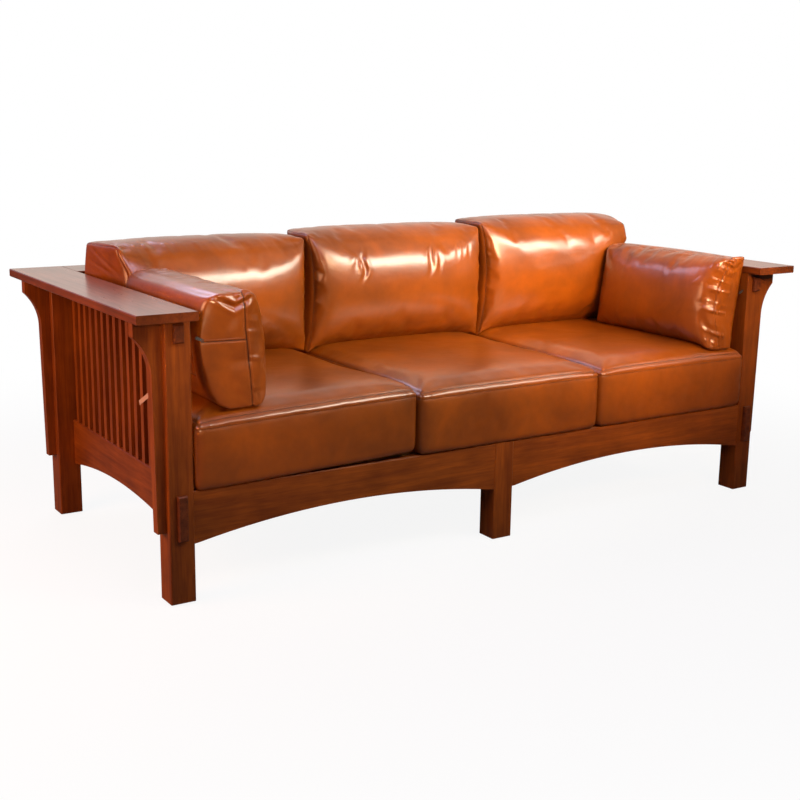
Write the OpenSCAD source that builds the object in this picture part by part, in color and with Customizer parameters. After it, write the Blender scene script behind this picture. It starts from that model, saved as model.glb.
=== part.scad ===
// Three-seat spindle settle with loose leather cushions.
// Origin: on the floor, under the middle of the frame. X runs along the seat, the front faces -Y, Z is up.

/* [Frame] */
// Width over the outer faces of the corner posts
frame_w = 1967; // [1500:1:2400]
// Depth over the outer faces of the front and back posts
frame_d = 877; // [800:1:1000]
// Height of the top of the arm boards above the floor
arm_h = 712; // [660:1:800]
// Side of the square corner posts and middle legs
post_s = 63.5; // [56:0.5:76]
// Bevel along the long edges of posts, boards and rails
ease = 2; // [0.5:0.5:3]
// Thickness of the round glide under each leg
glide_t = 3; // [2:0.5:8]
// Diameter of the round glide under each leg
glide_d = 38; // [24:1:50]

/* [Arms and shelf] */
// Thickness of the arm boards and of the back shelf
board_t = 21.5; // [16:0.5:32]
// How far an arm board stands out past the posts at the side
arm_over_side = 84; // [50:1:120]
// How far an arm board stands out in front of the front posts
arm_over_front = 46; // [10:1:80]
// How far the arm boards and the shelf stand out behind the back posts
arm_over_back = 38; // [10:1:80]
// How far an arm board stands in past the posts at the seat side
arm_over_seat = 1.5; // [0:0.5:1.5]
// Depth of the back shelf from its front edge to its back edge
shelf_d = 138; // [124:1:150]

/* [Corbels] */
// Thickness of a corbel
corbel_t = 26; // [16:1:40]
// Length of a corbel from the arm board down
corbel_l = 512; // [380:1:520]
// How far a corbel stands out at its lower end
corbel_foot = 22; // [10:1:24]
// How far a corbel stands out where its curve starts
corbel_waist = 26; // [25:1:34]
// How far the block at the top of a corbel stands out
corbel_head = 68; // [50:1:80]
// Height of the straight block at the top of a corbel
corbel_head_h = 39; // [20:1:60]
// Height of the curved part below that block
corbel_curve_h = 97; // [60:1:140]

/* [Side and back panels] */
// Thickness of the side and back rails
rail_t = 16; // [14:0.5:20]
// Height above the floor of the top edge of the lower side and back rails
panel_rail_top = 281; // [270:1:300]
// Height above the floor of the ends of their arched lower edge
panel_arch_foot = 149; // [120:1:165]
// Rise of their arch
panel_arch_rise = 37; // [10:1:40]
// Height of the upper rails under the boards
upper_rail_h = 57; // [45:1:80]
// Width of a spindle, seen from outside
spindle_w = 19; // [12:0.5:24]
// Thickness of a spindle
spindle_t = 12; // [8:0.5:12.5]
// Number of spindles in each side panel
side_spindle_n = 16; // [8:1:20]
// Number of spindles in each half of the back panel
back_spindle_n = 19; // [8:1:24]
// How deep a spindle end sits in its rail
spindle_in = 10; // [6:0.5:14]

/* [Front aprons] */
// Thickness of a front apron
apron_t = 22; // [18:0.5:26]
// How far the aprons lie behind the faces of the legs
apron_set = 2; // [0.5:0.5:5]
// Height above the floor of the top of the aprons, where the seat cushions lie
deck_z = 277; // [260:1:300]
// Height above the floor of the ends of the apron's arch
apron_arch_foot = 146; // [120:1:165]
// Rise of the apron's arch
apron_arch_rise = 42; // [10:1:50]

/* [Joints] */
// Thickness of the rail tenons
tenon_t = 8; // [6:0.5:10]
// Length of the rail tenons
tenon_l = 26; // [15:1:28]
// Shoulder above and below a rail tenon
tenon_shoulder = 12; // [6:1:18]
// Glue gap on each side of a tenon, spindle end, dowel or screw
joint_gap = 0.2; // [0.1:0.05:0.4]
// Width of the tenon blocks on the front posts
block_w = 25; // [18:1:32]
// How far a tenon block stands out of the post
block_out = 12; // [4:1:16]
// How deep a tenon block is let into the post
block_in = 5; // [4:0.5:7]
// Height of the lower tenon block
low_block_h = 111; // [60:1:120]
// Height above the floor of the foot of the lower tenon block
low_block_z = 160; // [140:1:175]
// Height of the upper tenon block
top_block_h = 44; // [30:1:50]
// Space between the upper tenon block and the arm board
top_block_drop = 11; // [6:1:20]

/* [Seat base] */
// Thickness of a cleat
cleat_t = 25; // [18:1:32]
// Height of a cleat
cleat_h = 30; // [20:1:40]
// Width of a seat slat
slat_w = 60; // [40:1:75]
// Thickness of a seat slat
slat_t = 18; // [12:1:22]
// Number of seat slats on each side of the middle stretcher
slat_n = 10; // [6:1:11]
// Thickness of the tape that keeps the slats apart
slat_tape_t = 1; // [0.5:0.5:2]
// Width of that tape
slat_tape_w = 25; // [15:1:40]
// Distance of each tape from the middle of the slats
slat_tape_y = 250; // [150:1:300]
// Thickness of the middle stretcher and of the seat beams
beam_t = 22; // [20:1:40]
// Height of the middle stretcher
stretcher_h = 80; // [70:1:95]
// Height of a seat beam
beam_h = 58; // [48:1:60]
// Length of the stub tenons on the seat beams
stub_l = 7; // [4:0.5:8]

/* [Fasteners] */
// Diameter of a screw's shank
screw_d = 4; // [3:0.5:5]
// Diameter of a screw's head
screw_head_d = 8; // [6:0.5:9]
// Height of a screw's head
screw_head_h = 3; // [2:0.5:4]
// How deep a screw bites into the piece that it holds
screw_bite = 12; // [8:1:14]
// Number of screws in each cleat
cleat_screw_n = 5; // [3:1:8]
// Number of screws up through each upper side rail
arm_screw_n = 4; // [2:1:6]
// Number of screws up through each upper back rail
shelf_screw_n = 3; // [2:1:6]
// Wood left above the head of a screw in an upper rail
screw_wood = 25; // [18:1:34]
// Diameter of the dowels between shelf and arm boards
dowel_d = 10; // [6:1:12]
// Length of those dowels
dowel_l = 50; // [30:1:70]
// Distance between the two dowels of a joint
dowel_step = 80; // [50:1:90]

/* [Seat cushions] */
// Height of a seat cushion's side wall, up to its seam
seat_wall = 168; // [120:1:200]
// How far a seat cushion's top swells above its seam
seat_crown = 30; // [10:1:45]
// How far the seat cushions stand out in front of the legs
seat_over_front = 12; // [0:1:20]
// Space between the seat cushions and the back panel
seat_back_gap = 5; // [2:1:30]
// Place of the join between the left and middle seat cushion
seat_join_left = -291; // [-340:1:-260]
// Place of the join between the middle and right seat cushion
seat_join_right = 331; // [260:1:340]
// How far a seat cushion's sides draw in between its corners
seat_pull = 4; // [0:0.5:10]
// Corner radius of a seat cushion
seat_r = 26; // [10:1:40]

/* [Back cushions] */
// Thickness of a back cushion from seam to seam
back_t = 165; // [100:1:190]
// How far a back cushion's front swells out of its seams
back_crown = 62; // [20:1:70]
// How far a back cushion's rear swells out of its seams
back_rear_crown = 20; // [5:1:40]
// Height of the left back cushion
left_back_h = 322; // [260:1:400]
// Height of the middle back cushion
middle_back_h = 334; // [260:1:400]
// Height of the right back cushion
right_back_h = 346; // [260:1:400]
// Place of the join between the left and middle back cushion
back_join_left = -297; // [-340:1:-260]
// Place of the join between the middle and right back cushion
back_join_right = 330; // [260:1:340]
// Share of the swell that a back cushion's seams follow between its corners
back_bow = 0.35; // [0:0.05:0.6]
// The same at the outer end of the left back cushion, which is squeezed forwards
left_end_bow = 0.75; // [0:0.05:0.9]
// How far a back cushion's sides draw in between its corners
back_pull = 10; // [0:0.5:14]
// How far a back cushion's top arches up between its corners
back_rise = 6; // [0:0.5:12]
// How far the left back cushion stands away from its arm board
left_back_in = 15; // [0:1:30]
// Corner radius of a back cushion
back_r = 16; // [8:1:50]

/* [Arm pillows] */
// Length of an arm pillow
pillow_l = 520; // [400:1:540]
// Height of an arm pillow
pillow_h = 266; // [200:1:320]
// Thickness of an arm pillow from seam to seam
pillow_t = 95; // [50:1:120]
// How far a pillow swells towards the seat
pillow_crown = 45; // [15:1:60]
// How far the left pillow stands away from the side panel
left_pillow_off = 80; // [10:1:100]
// How far the left pillow swells towards its arm
left_pillow_rear = 56; // [3:1:60]
// How far the left pillow's top leans towards its arm
left_pillow_lean = 24; // [0:1:50]
// How far the right pillow stands away from the side panel
right_pillow_off = 27; // [6:1:60]
// How far the right pillow swells towards its arm
right_pillow_rear = 10; // [3:1:50]
// How far the right pillow's top leans towards its arm
right_pillow_lean = 36; // [0:1:50]
// Share of the swell that a pillow's seams follow between its corners
pillow_bow = 0.45; // [0:0.05:0.7]
// Share of an arm pillow's outer swell that its ends take part in
pillow_out_bow = 1; // [0:0.05:1]
// How far a pillow's sides draw in between its corners
pillow_pull = 7; // [0:0.5:14]
// How far a pillow's top arches up between its corners
pillow_rise = 5; // [0:0.5:12]
// Corner radius of a pillow
pillow_r = 22; // [8:1:50]
// Width of a zip pull
zip_w = 7; // [4:0.5:12]
// Length of a zip pull
zip_l = 22; // [12:1:40]
// Thickness of a zip pull
zip_t = 1.5; // [1:0.25:3]
// How far a zip pull points up from level, away from its pillow
zip_turn = 25; // [0:1:60]

/* [Tie tape] */
// Width of the tie tape
tape_w = 12; // [6:1:20]
// Thickness of the tie tape
tape_t = 1; // [0.5:0.25:1.5]
// Slope of the tie tape in degrees
tape_slope = 27; // [0:1:40]
// Height above the floor of the middle of the tie tape
tape_z = 453; // [360:1:560]
// Number of the spindle, counted from the back, behind which the tape's low end lies
tape_spindle = 10; // [2:1:11]

/* [Hidden] */

$fn = 48;
wood = "#7a3a16";
dark_wood = "#5c2c12";
pale_wood = "#c8a878";
leather = "#b5561f";
steel = "#b8b8b4";
nylon = "#2c2622";
cloth = "#e6d2c0";

// Small clearance that keeps loose soft pieces off their neighbours
rest_gap = 0.3;
soft_gap = 3;

// Places along Z
board_z = arm_h - board_t;
upper_z = board_z - upper_rail_h;
slat_top = deck_z - slat_tape_t;
slat_z = slat_top - slat_t;
cleat_z = slat_z - cleat_h;

// Places along Y
overall_d = frame_d + arm_over_front + arm_over_back;
edge_y = overall_d / 2;
front_y = arm_over_front - edge_y;
back_y = front_y + frame_d;
bay_front = front_y + post_s;
bay_back = back_y - post_s;
bay_l = bay_back - bay_front;
apron_y = front_y + apron_set;
apron_back = apron_y + apron_t;
shelf_y = edge_y - shelf_d;

// Places along X, for the right half
side_x = frame_w / 2;
inner_x = side_x - post_s;
half_leg = post_s / 2;
arm_x = inner_x - arm_over_seat;
bay_w = inner_x - half_leg;

// Middle of a post along X and of the front and back posts along Y
post_x = side_x - half_leg;
front_post_y = front_y + half_leg;
back_post_y = back_y - half_leg;

module on_left() {
  mirror([1, 0, 0]) children();
}

// Rectangle with bevelled corners, from the origin
module eased_rectangle(w, h, e) {
  polygon([[e, 0], [w - e, 0], [w, e], [w, h - e], [w - e, h], [e, h], [0, h - e], [0, e]]);
}

// Upright bar of rectangular section with bevelled long edges
module upright(w, d, h, e = ease) {
  linear_extrude(h) eased_rectangle(w, d, e);
}

// Bar along X with bevelled long edges
module bar_x(l, d, h, e = ease) {
  rotate([90, 0, 90]) linear_extrude(l) eased_rectangle(d, h, e);
}

// Bar along Y with bevelled long edges
module bar_y(w, l, h, e = ease) {
  translate([0, l, 0]) rotate([90, 0, 0]) linear_extrude(l) eased_rectangle(w, h, e);
}

// Round piece along Z, made larger all round by grow
module peg(d, h, grow = 0) {
  cylinder(d = d + 2 * grow, h = h);
}

// Radius of the arc with a given span and rise
function arc_radius(span, rise) = (span * span / 4 + rise * rise) / (2 * rise);

// Arched board along X, from x0 to x1, with its arch cut out of the lower edge
module arched_rail_x(x0, x1, y, t, z0, z1, rise) {
  r = arc_radius(x1 - x0, rise);
  difference() {
    translate([x0, y, z0]) bar_x(x1 - x0, t, z1 - z0);
    translate([(x0 + x1) / 2, y - 1, z0 + rise - r])
      rotate([-90, 0, 0]) cylinder(r = r, h = t + 2, $fn = 200);
  }
}

// The same along Y
module arched_rail_y(y0, y1, x, t, z0, z1, rise) {
  r = arc_radius(y1 - y0, rise);
  difference() {
    translate([x, y0, z0]) bar_y(t, y1 - y0, z1 - z0);
    translate([x - 1, (y0 + y1) / 2, z0 + rise - r])
      rotate([0, 90, 0]) cylinder(r = r, h = t + 2, $fn = 200);
  }
}

// Tenon along X that starts at x and runs in the direction dir, or its mortise when grow is set
module tenon_x(x, dir, y, z0, z1, l = tenon_l, grow = 0) {
  start = dir > 0 ? x - grow : x - l - 2 * grow;
  translate([start, y - tenon_t / 2 - grow, z0 - grow])
    cube([l + 3 * grow, tenon_t + 2 * grow, z1 - z0 + 2 * grow]);
}

// Tenon along Y, in the same way
module tenon_y(y, dir, x, z0, z1, l = tenon_l, grow = 0) {
  start = dir > 0 ? y - grow : y - l - 2 * grow;
  translate([x - tenon_t / 2 - grow, start, z0 - grow])
    cube([tenon_t + 2 * grow, l + 3 * grow, z1 - z0 + 2 * grow]);
}

// Middle plane of the side panels, back panel and front aprons
side_panel_x = inner_x + rail_t / 2;
back_panel_y = bay_back + rail_t / 2;
apron_mid_y = apron_y + apron_t / 2;

// Lower and upper limits of each kind of rail tenon
low_tenon = [panel_arch_foot + tenon_shoulder, panel_rail_top - tenon_shoulder];
top_tenon = [upper_z + tenon_shoulder, board_z - tenon_shoulder];
apron_tenon = [apron_arch_foot + tenon_shoulder, deck_z - tenon_shoulder];
stretcher_tenon = [slat_z - stretcher_h + tenon_shoulder, slat_z - tenon_shoulder];
beam_tenon = [slat_z - beam_h + tenon_shoulder, slat_z - tenon_shoulder];

// Where a side rail and a back rail meet in a post, the side rail's tenon takes the lower
// half of the height and the back rail's tenon the upper half
half_step = 2;
function lower_half(limits) = [limits[0], (limits[0] + limits[1]) / 2 - half_step];
function upper_half(limits) = [(limits[0] + limits[1]) / 2 + half_step, limits[1]];

// Tenons that enter a middle leg from both sides leave room for the stretcher's tenon
leg_tenon_l = min(tenon_l, half_leg - tenon_t / 2 - 4);

// Round glide with its nail, or the hole for the nail
module glide_nail(grow = 0) {
  nail_d = 4;
  nail_l = 18;
  translate([0, 0, glide_t - grow]) peg(nail_d, nail_l + 2 * grow, grow);
}

module leg_blank(x, y, top) {
  difference() {
    translate([x, y, glide_t]) upright(post_s, post_s, top - glide_t);
    translate([x + half_leg, y + half_leg, 0]) glide_nail(joint_gap);
  }
}

// Plain tenon block on a front post, or its pocket when grow is set
module block_blank(z, h, grow = 0) {
  translate([post_x - block_w / 2 - grow, front_y - block_out, z - grow])
    cube([block_w + 2 * grow, block_out + block_in + grow, h + 2 * grow]);
}

// Tenon block whose front edges are cut off at 45 degrees
module block(z, h) {
  cut = 4;
  difference() {
    block_blank(z, h);
    translate([post_x, front_y - block_out, z + h / 2]) {
      for (side = [-1, 1]) {
        translate([side * block_w / 2, 0, 0]) rotate(45) cube([cut, cut, h + 2], center = true);
        translate([0, 0, side * h / 2]) rotate([45, 0, 0]) cube([block_w + 2, cut, cut], center = true);
      }
    }
  }
}

top_block_z = board_z - top_block_drop - top_block_h;

module front_post() {
  color(wood) difference() {
    leg_blank(inner_x, front_y, board_z);
    tenon_x(inner_x, 1, apron_mid_y, apron_tenon[0], apron_tenon[1], grow = joint_gap);
    tenon_y(bay_front, -1, side_panel_x, low_tenon[0], low_tenon[1], grow = joint_gap);
    tenon_y(bay_front, -1, side_panel_x, top_tenon[0], top_tenon[1], grow = joint_gap);
    block_blank(low_block_z, low_block_h, joint_gap);
    block_blank(top_block_z, top_block_h, joint_gap);
  }
}

module back_post() {
  color(wood) difference() {
    leg_blank(inner_x, bay_back, board_z);
    for (limits = [low_tenon, top_tenon]) {
      tenon_x(inner_x, 1, back_panel_y, upper_half(limits)[0], upper_half(limits)[1], grow = joint_gap);
      tenon_y(bay_back, 1, side_panel_x, lower_half(limits)[0], lower_half(limits)[1], grow = joint_gap);
    }
  }
}

module front_left_post() {
  on_left() front_post();
}

module front_right_post() {
  front_post();
}

module back_left_post() {
  on_left() back_post();
}

module back_right_post() {
  back_post();
}

module center_front_leg() {
  color(wood) difference() {
    leg_blank(-half_leg, front_y, deck_z);
    for (dir = [-1, 1])
      tenon_x(-dir * half_leg, dir, apron_mid_y, apron_tenon[0], apron_tenon[1],
              l = leg_tenon_l, grow = joint_gap);
    tenon_y(bay_front, -1, 0, stretcher_tenon[0], stretcher_tenon[1], grow = joint_gap);
  }
}

module center_back_post() {
  color(wood) difference() {
    leg_blank(-half_leg, bay_back, board_z);
    for (dir = [-1, 1], limits = [low_tenon, top_tenon])
      tenon_x(-dir * half_leg, dir, back_panel_y, upper_half(limits)[0], upper_half(limits)[1],
              l = leg_tenon_l, grow = joint_gap);
    tenon_y(bay_back, 1, 0, stretcher_tenon[0], stretcher_tenon[1], grow = joint_gap);
  }
}

// Corbel outline: a tapering bar whose top flares on one arc into a straight block
module corbel(y) {
  flare = corbel_head - corbel_waist;
  r = (flare * flare + corbel_curve_h * corbel_curve_h) / (2 * flare);
  waist_z = corbel_l - corbel_head_h - corbel_curve_h;
  color(wood) translate([side_x, y + corbel_t / 2, board_z - corbel_l])
    rotate([90, 0, 0]) linear_extrude(corbel_t)
      difference() {
        polygon([[0, 0], [corbel_foot, 0], [corbel_waist, waist_z],
                 [corbel_head, waist_z], [corbel_head, corbel_l], [0, corbel_l]]);
        translate([corbel_waist + r, waist_z]) circle(r = r, $fn = 160);
      }
}

module front_left_corbel() {
  on_left() corbel(front_post_y);
}

module front_right_corbel() {
  corbel(front_post_y);
}

module back_left_corbel() {
  on_left() corbel(back_post_y);
}

module back_right_corbel() {
  corbel(back_post_y);
}

// Screws that stand up in the upper rails, and the holes for them
module rising_screw(grow = 0) {
  head_z = board_z - screw_wood;
  translate([0, 0, head_z - screw_head_h]) peg(screw_head_d, screw_head_h, grow);
  translate([0, 0, head_z - grow]) peg(screw_d, screw_wood + screw_bite + 2 * grow, grow);
}

// Screw hole with its counterbore open at the rail's lower edge
module rising_hole() {
  rising_screw(joint_gap);
  translate([0, 0, upper_z - 1])
    peg(screw_head_d, upper_rail_h - screw_wood + 1, joint_gap);
}

// Middle of spindle number i of n in a bay that starts at start and is span long
function spindle_at(i, n, start, span) =
  start + (i + 0.5) * spindle_w + (i + 1) * (span - n * spindle_w) / (n + 1);

// Middle of the gap after spindle i
function gap_at(i, n, start, span) =
  (spindle_at(i, n, start, span) + spindle_at(i + 1, n, start, span)) / 2;

// Spindle gap that holds screw k of m
function screw_gap(k, m, n) = floor((k + 0.5) * (n - 1) / m);

module arm_screw_places() {
  for (k = [0 : arm_screw_n - 1])
    translate([side_panel_x, gap_at(screw_gap(k, arm_screw_n, side_spindle_n),
                                    side_spindle_n, bay_front, bay_l), 0]) children();
}

module shelf_screw_places() {
  for (k = [0 : shelf_screw_n - 1])
    translate([gap_at(screw_gap(k, shelf_screw_n, back_spindle_n),
                      back_spindle_n, half_leg, bay_w), back_panel_y, 0]) children();
}

module shelf_dowel_places() {
  for (side = [-0.5, 0.5])
    translate([arm_x - dowel_l / 2, edge_y - shelf_d / 2 + side * dowel_step, board_z + board_t / 2])
      rotate([0, 90, 0]) children();
}

module arm_board() {
  arm_w = side_x + arm_over_side - arm_x;
  color(dark_wood) difference() {
    translate([arm_x, -edge_y, board_z]) bar_y(arm_w, overall_d, board_t);
    arm_screw_places() rising_screw(joint_gap);
    translate([-1, 0, 0]) shelf_dowel_places() peg(dowel_d, dowel_l + 2, joint_gap);
  }
}

module left_arm_board() {
  on_left() arm_board();
}

module right_arm_board() {
  arm_board();
}

module back_shelf_board() {
  color(dark_wood) difference() {
    translate([-arm_x, shelf_y, board_z]) bar_x(2 * arm_x, shelf_d, board_t);
    for (flip = [0, 1]) mirror([flip, 0, 0]) {
      shelf_screw_places() rising_screw(joint_gap);
      translate([-1, 0, 0]) shelf_dowel_places() peg(dowel_d, dowel_l + 2, joint_gap);
    }
  }
}

// Spindles of a side panel, or their pockets in the rails
module side_spindle_set(grow = 0) {
  z0 = panel_rail_top - spindle_in;
  z1 = upper_z + spindle_in;
  for (i = [0 : side_spindle_n - 1])
    translate([side_panel_x - spindle_t / 2 - grow,
               spindle_at(i, side_spindle_n, bay_front, bay_l) - spindle_w / 2 - grow, z0 - grow])
      cube([spindle_t + 2 * grow, spindle_w + 2 * grow, z1 - z0 + 2 * grow]);
}

// Spindles of half the back panel, or their pockets
module back_spindle_set(grow = 0) {
  z0 = panel_rail_top - spindle_in;
  z1 = upper_z + spindle_in;
  for (i = [0 : back_spindle_n - 1])
    translate([spindle_at(i, back_spindle_n, half_leg, bay_w) - spindle_w / 2 - grow,
               back_panel_y - spindle_t / 2 - grow, z0 - grow])
      cube([spindle_w + 2 * grow, spindle_t + 2 * grow, z1 - z0 + 2 * grow]);
}

module lower_side_rail() {
  color(wood) difference() {
    union() {
      arched_rail_y(bay_front, bay_back, inner_x, rail_t, panel_arch_foot, panel_rail_top, panel_arch_rise);
      tenon_y(bay_front, -1, side_panel_x, low_tenon[0], low_tenon[1]);
      tenon_y(bay_back, 1, side_panel_x, lower_half(low_tenon)[0], lower_half(low_tenon)[1]);
    }
    side_spindle_set(joint_gap);
    tenon_x(inner_x, 1, 0, beam_tenon[0], beam_tenon[1], l = stub_l, grow = joint_gap);
  }
}

module upper_side_rail() {
  color(wood) difference() {
    union() {
      translate([inner_x, bay_front, upper_z]) bar_y(rail_t, bay_l, upper_rail_h);
      tenon_y(bay_front, -1, side_panel_x, top_tenon[0], top_tenon[1]);
      tenon_y(bay_back, 1, side_panel_x, lower_half(top_tenon)[0], lower_half(top_tenon)[1]);
    }
    side_spindle_set(joint_gap);
    arm_screw_places() rising_hole();
  }
}

module left_lower_side_rail() {
  on_left() lower_side_rail();
}

module right_lower_side_rail() {
  lower_side_rail();
}

module left_upper_side_rail() {
  on_left() upper_side_rail();
}

module right_upper_side_rail() {
  upper_side_rail();
}

module left_side_spindles() {
  color(wood) on_left() side_spindle_set();
}

module right_side_spindles() {
  color(wood) side_spindle_set();
}

module front_apron() {
  color(wood) difference() {
    union() {
      arched_rail_x(half_leg, inner_x, apron_y, apron_t, apron_arch_foot, deck_z, apron_arch_rise);
      tenon_x(inner_x, 1, apron_mid_y, apron_tenon[0], apron_tenon[1]);
      tenon_x(half_leg, -1, apron_mid_y, apron_tenon[0], apron_tenon[1], l = leg_tenon_l);
    }
    front_cleat_screws(joint_gap);
  }
}

module left_front_apron() {
  on_left() front_apron();
}

module right_front_apron() {
  front_apron();
}

module lower_back_rail() {
  color(wood) difference() {
    union() {
      arched_rail_x(half_leg, inner_x, bay_back, rail_t, panel_arch_foot, panel_rail_top, panel_arch_rise);
      tenon_x(inner_x, 1, back_panel_y, upper_half(low_tenon)[0], upper_half(low_tenon)[1]);
      tenon_x(half_leg, -1, back_panel_y, upper_half(low_tenon)[0], upper_half(low_tenon)[1],
              l = leg_tenon_l);
    }
    back_spindle_set(joint_gap);
    back_cleat_screws(joint_gap);
  }
}

module upper_back_rail() {
  color(wood) difference() {
    union() {
      translate([half_leg, bay_back, upper_z]) bar_x(bay_w, rail_t, upper_rail_h);
      tenon_x(inner_x, 1, back_panel_y, upper_half(top_tenon)[0], upper_half(top_tenon)[1]);
      tenon_x(half_leg, -1, back_panel_y, upper_half(top_tenon)[0], upper_half(top_tenon)[1],
              l = leg_tenon_l);
    }
    back_spindle_set(joint_gap);
    shelf_screw_places() rising_hole();
  }
}

module left_lower_back_rail() {
  on_left() lower_back_rail();
}

module right_lower_back_rail() {
  lower_back_rail();
}

module left_upper_back_rail() {
  on_left() upper_back_rail();
}

module right_upper_back_rail() {
  upper_back_rail();
}

module left_back_spindles() {
  color(wood) on_left() back_spindle_set();
}

module right_back_spindles() {
  color(wood) back_spindle_set();
}

module lower_tenon_blocks() {
  color(dark_wood) {
    block(low_block_z, low_block_h);
    on_left() block(low_block_z, low_block_h);
  }
}

module upper_tenon_blocks() {
  color(dark_wood) {
    block(top_block_z, top_block_h);
    on_left() block(top_block_z, top_block_h);
  }
}

// Screw along Y: its head lies against y, and dir says which way the shank runs
module level_screw(x, y, z, dir, l, grow = 0) {
  translate([x, y, z]) rotate([-90 * dir, 0, 0]) {
    translate([0, 0, -screw_head_h]) peg(screw_head_d, screw_head_h, grow);
    translate([0, 0, -grow]) peg(screw_d, l + 2 * grow, grow);
  }
}

// Places of the cleat screws along X
function cleat_screw_x(k) = half_leg + (k + 0.5) * bay_w / cleat_screw_n;

module front_cleat_screws(grow = 0) {
  for (k = [0 : cleat_screw_n - 1])
    level_screw(cleat_screw_x(k), apron_back + cleat_t, cleat_z + cleat_h / 2, -1,
                cleat_t + screw_bite, grow);
}

module back_cleat_screws(grow = 0) {
  for (k = [0 : cleat_screw_n - 1])
    level_screw(cleat_screw_x(k), bay_back - cleat_t, cleat_z + cleat_h / 2, 1,
                cleat_t + screw_bite, grow);
}

// A cleat starts behind the middle leg's side and ends at the post or side panel
module front_cleat() {
  difference() {
    translate([half_leg, apron_back, cleat_z]) cube([bay_w, cleat_t, cleat_h]);
    front_cleat_screws(joint_gap);
  }
}

module back_cleat() {
  difference() {
    translate([half_leg, bay_back - cleat_t, cleat_z]) cube([bay_w, cleat_t, cleat_h]);
    back_cleat_screws(joint_gap);
  }
}

module front_cleats() {
  color(pale_wood) {
    front_cleat();
    on_left() front_cleat();
  }
}

module back_cleats() {
  color(pale_wood) {
    back_cleat();
    on_left() back_cleat();
  }
}

module center_stretcher() {
  color(pale_wood) difference() {
    union() {
      translate([-beam_t / 2, bay_front, slat_z - stretcher_h]) cube([beam_t, bay_l, stretcher_h]);
      tenon_y(bay_front, -1, 0, stretcher_tenon[0], stretcher_tenon[1]);
      tenon_y(bay_back, 1, 0, stretcher_tenon[0], stretcher_tenon[1]);
    }
    tenon_x(beam_t / 2, -1, 0, beam_tenon[0], beam_tenon[1], l = stub_l, grow = joint_gap);
    tenon_x(-beam_t / 2, 1, 0, beam_tenon[0], beam_tenon[1], l = stub_l, grow = joint_gap);
  }
}

module seat_beam() {
  translate([beam_t / 2, -beam_t / 2, slat_z - beam_h])
    cube([inner_x - beam_t / 2, beam_t, beam_h]);
  tenon_x(beam_t / 2, -1, 0, beam_tenon[0], beam_tenon[1], l = stub_l);
  tenon_x(inner_x, 1, 0, beam_tenon[0], beam_tenon[1], l = stub_l);
}

module seat_beams() {
  color(pale_wood) {
    seat_beam();
    on_left() seat_beam();
  }
}

// Middle of slat i of a half, along X
function slat_x(i) = half_leg + (i + 0.5) * bay_w / slat_n;

module seat_slats() {
  slat_l = bay_back - apron_back - 2 * rest_gap;
  color(pale_wood)
    for (side = [-1, 1], i = [0 : slat_n - 1])
      translate([side * slat_x(i) - slat_w / 2, apron_back + rest_gap, slat_z])
        cube([slat_w, slat_l, slat_t]);
}

module slat_tapes() {
  tape_x = slat_x(slat_n - 1) + slat_w / 2;
  color(cloth)
    for (side = [-1, 1])
      translate([-tape_x, (apron_back + bay_back) / 2 + side * slat_tape_y - slat_tape_w / 2, slat_top])
        cube([2 * tape_x, slat_tape_w, slat_tape_t]);
}

module cleat_screws() {
  color(steel) {
    front_cleat_screws();
    back_cleat_screws();
    on_left() {
      front_cleat_screws();
      back_cleat_screws();
    }
  }
}

module arm_screws() {
  color(steel) {
    arm_screw_places() rising_screw();
    on_left() arm_screw_places() rising_screw();
  }
}

module shelf_screws() {
  color(steel) {
    shelf_screw_places() rising_screw();
    on_left() shelf_screw_places() rising_screw();
  }
}

module shelf_dowels() {
  color(pale_wood) {
    shelf_dowel_places() peg(dowel_d, dowel_l);
    on_left() shelf_dowel_places() peg(dowel_d, dowel_l);
  }
}

module leg_glides() {
  color(nylon)
    for (x = [-post_x, 0, post_x], y = [front_post_y, back_post_y])
      translate([x, y, 0]) {
        peg(glide_d, glide_t);
        glide_nail();
      }
}

// Soft pieces. A cushion is a loop of points in plan, drawn in between its corners,
// which is stacked into a wall and then shrunk towards the middle as its faces swell.
side_steps = 6;
corner_steps = 3;
loop_n = 4 * (side_steps + corner_steps);

function reversed(list) = [for (i = [len(list) - 1 : -1 : 0]) list[i]];

// Shares of the loop's size at which the rings of a swelling face lie
face_rings = [0.97, 0.9, 0.78, 0.55, 0.28];

// Firm seats are flat with rounded edges, soft backs and pillows are round all over
seat_power = 5;
soft_power = 2.6;

// How far a cushion's wall swells out of its seams
wall_swell = 3;

// One corner of the loop and the side that follows it. Each point is [u, v, m, side], where m
// grows from 0 at the corners to 1 in the middle of a side
function quarter(a, b, r, pull, side) = concat(
  [for (k = [0 : corner_steps]) let (turn = 90 * k / corner_steps)
    [a - r + r * cos(turn), b - r + r * sin(turn), 0, side]],
  [for (k = [1 : side_steps - 1]) let (t = 1 - 2 * k / side_steps)
    [(a - r) * t, b - pull * (1 - t * t), 1 - t * t, side]]
);

// The whole loop of half sizes a and b. pulls holds the draw-in of the +v, -u, -v and +u sides
function cushion_loop(a, b, r, pulls) = concat(
  [for (p = quarter(a, b, r, pulls[0], 0)) p],
  [for (p = quarter(b, a, r, pulls[1], 1)) [-p[1], p[0], p[2], p[3]]],
  [for (p = quarter(a, b, r, pulls[2], 2)) [-p[0], -p[1], p[2], p[3]]],
  [for (p = quarter(b, a, r, pulls[3], 3)) [p[1], -p[0], p[2], p[3]]]
);

// The loop at the share s of its size. Towards the middle its corners grow rounder
function face_loop(s, a, b, r, pulls) =
  cushion_loop(s * a, s * b, s * (r + (min(a, b) - r) * (1 - s)), s * pulls);

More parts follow.
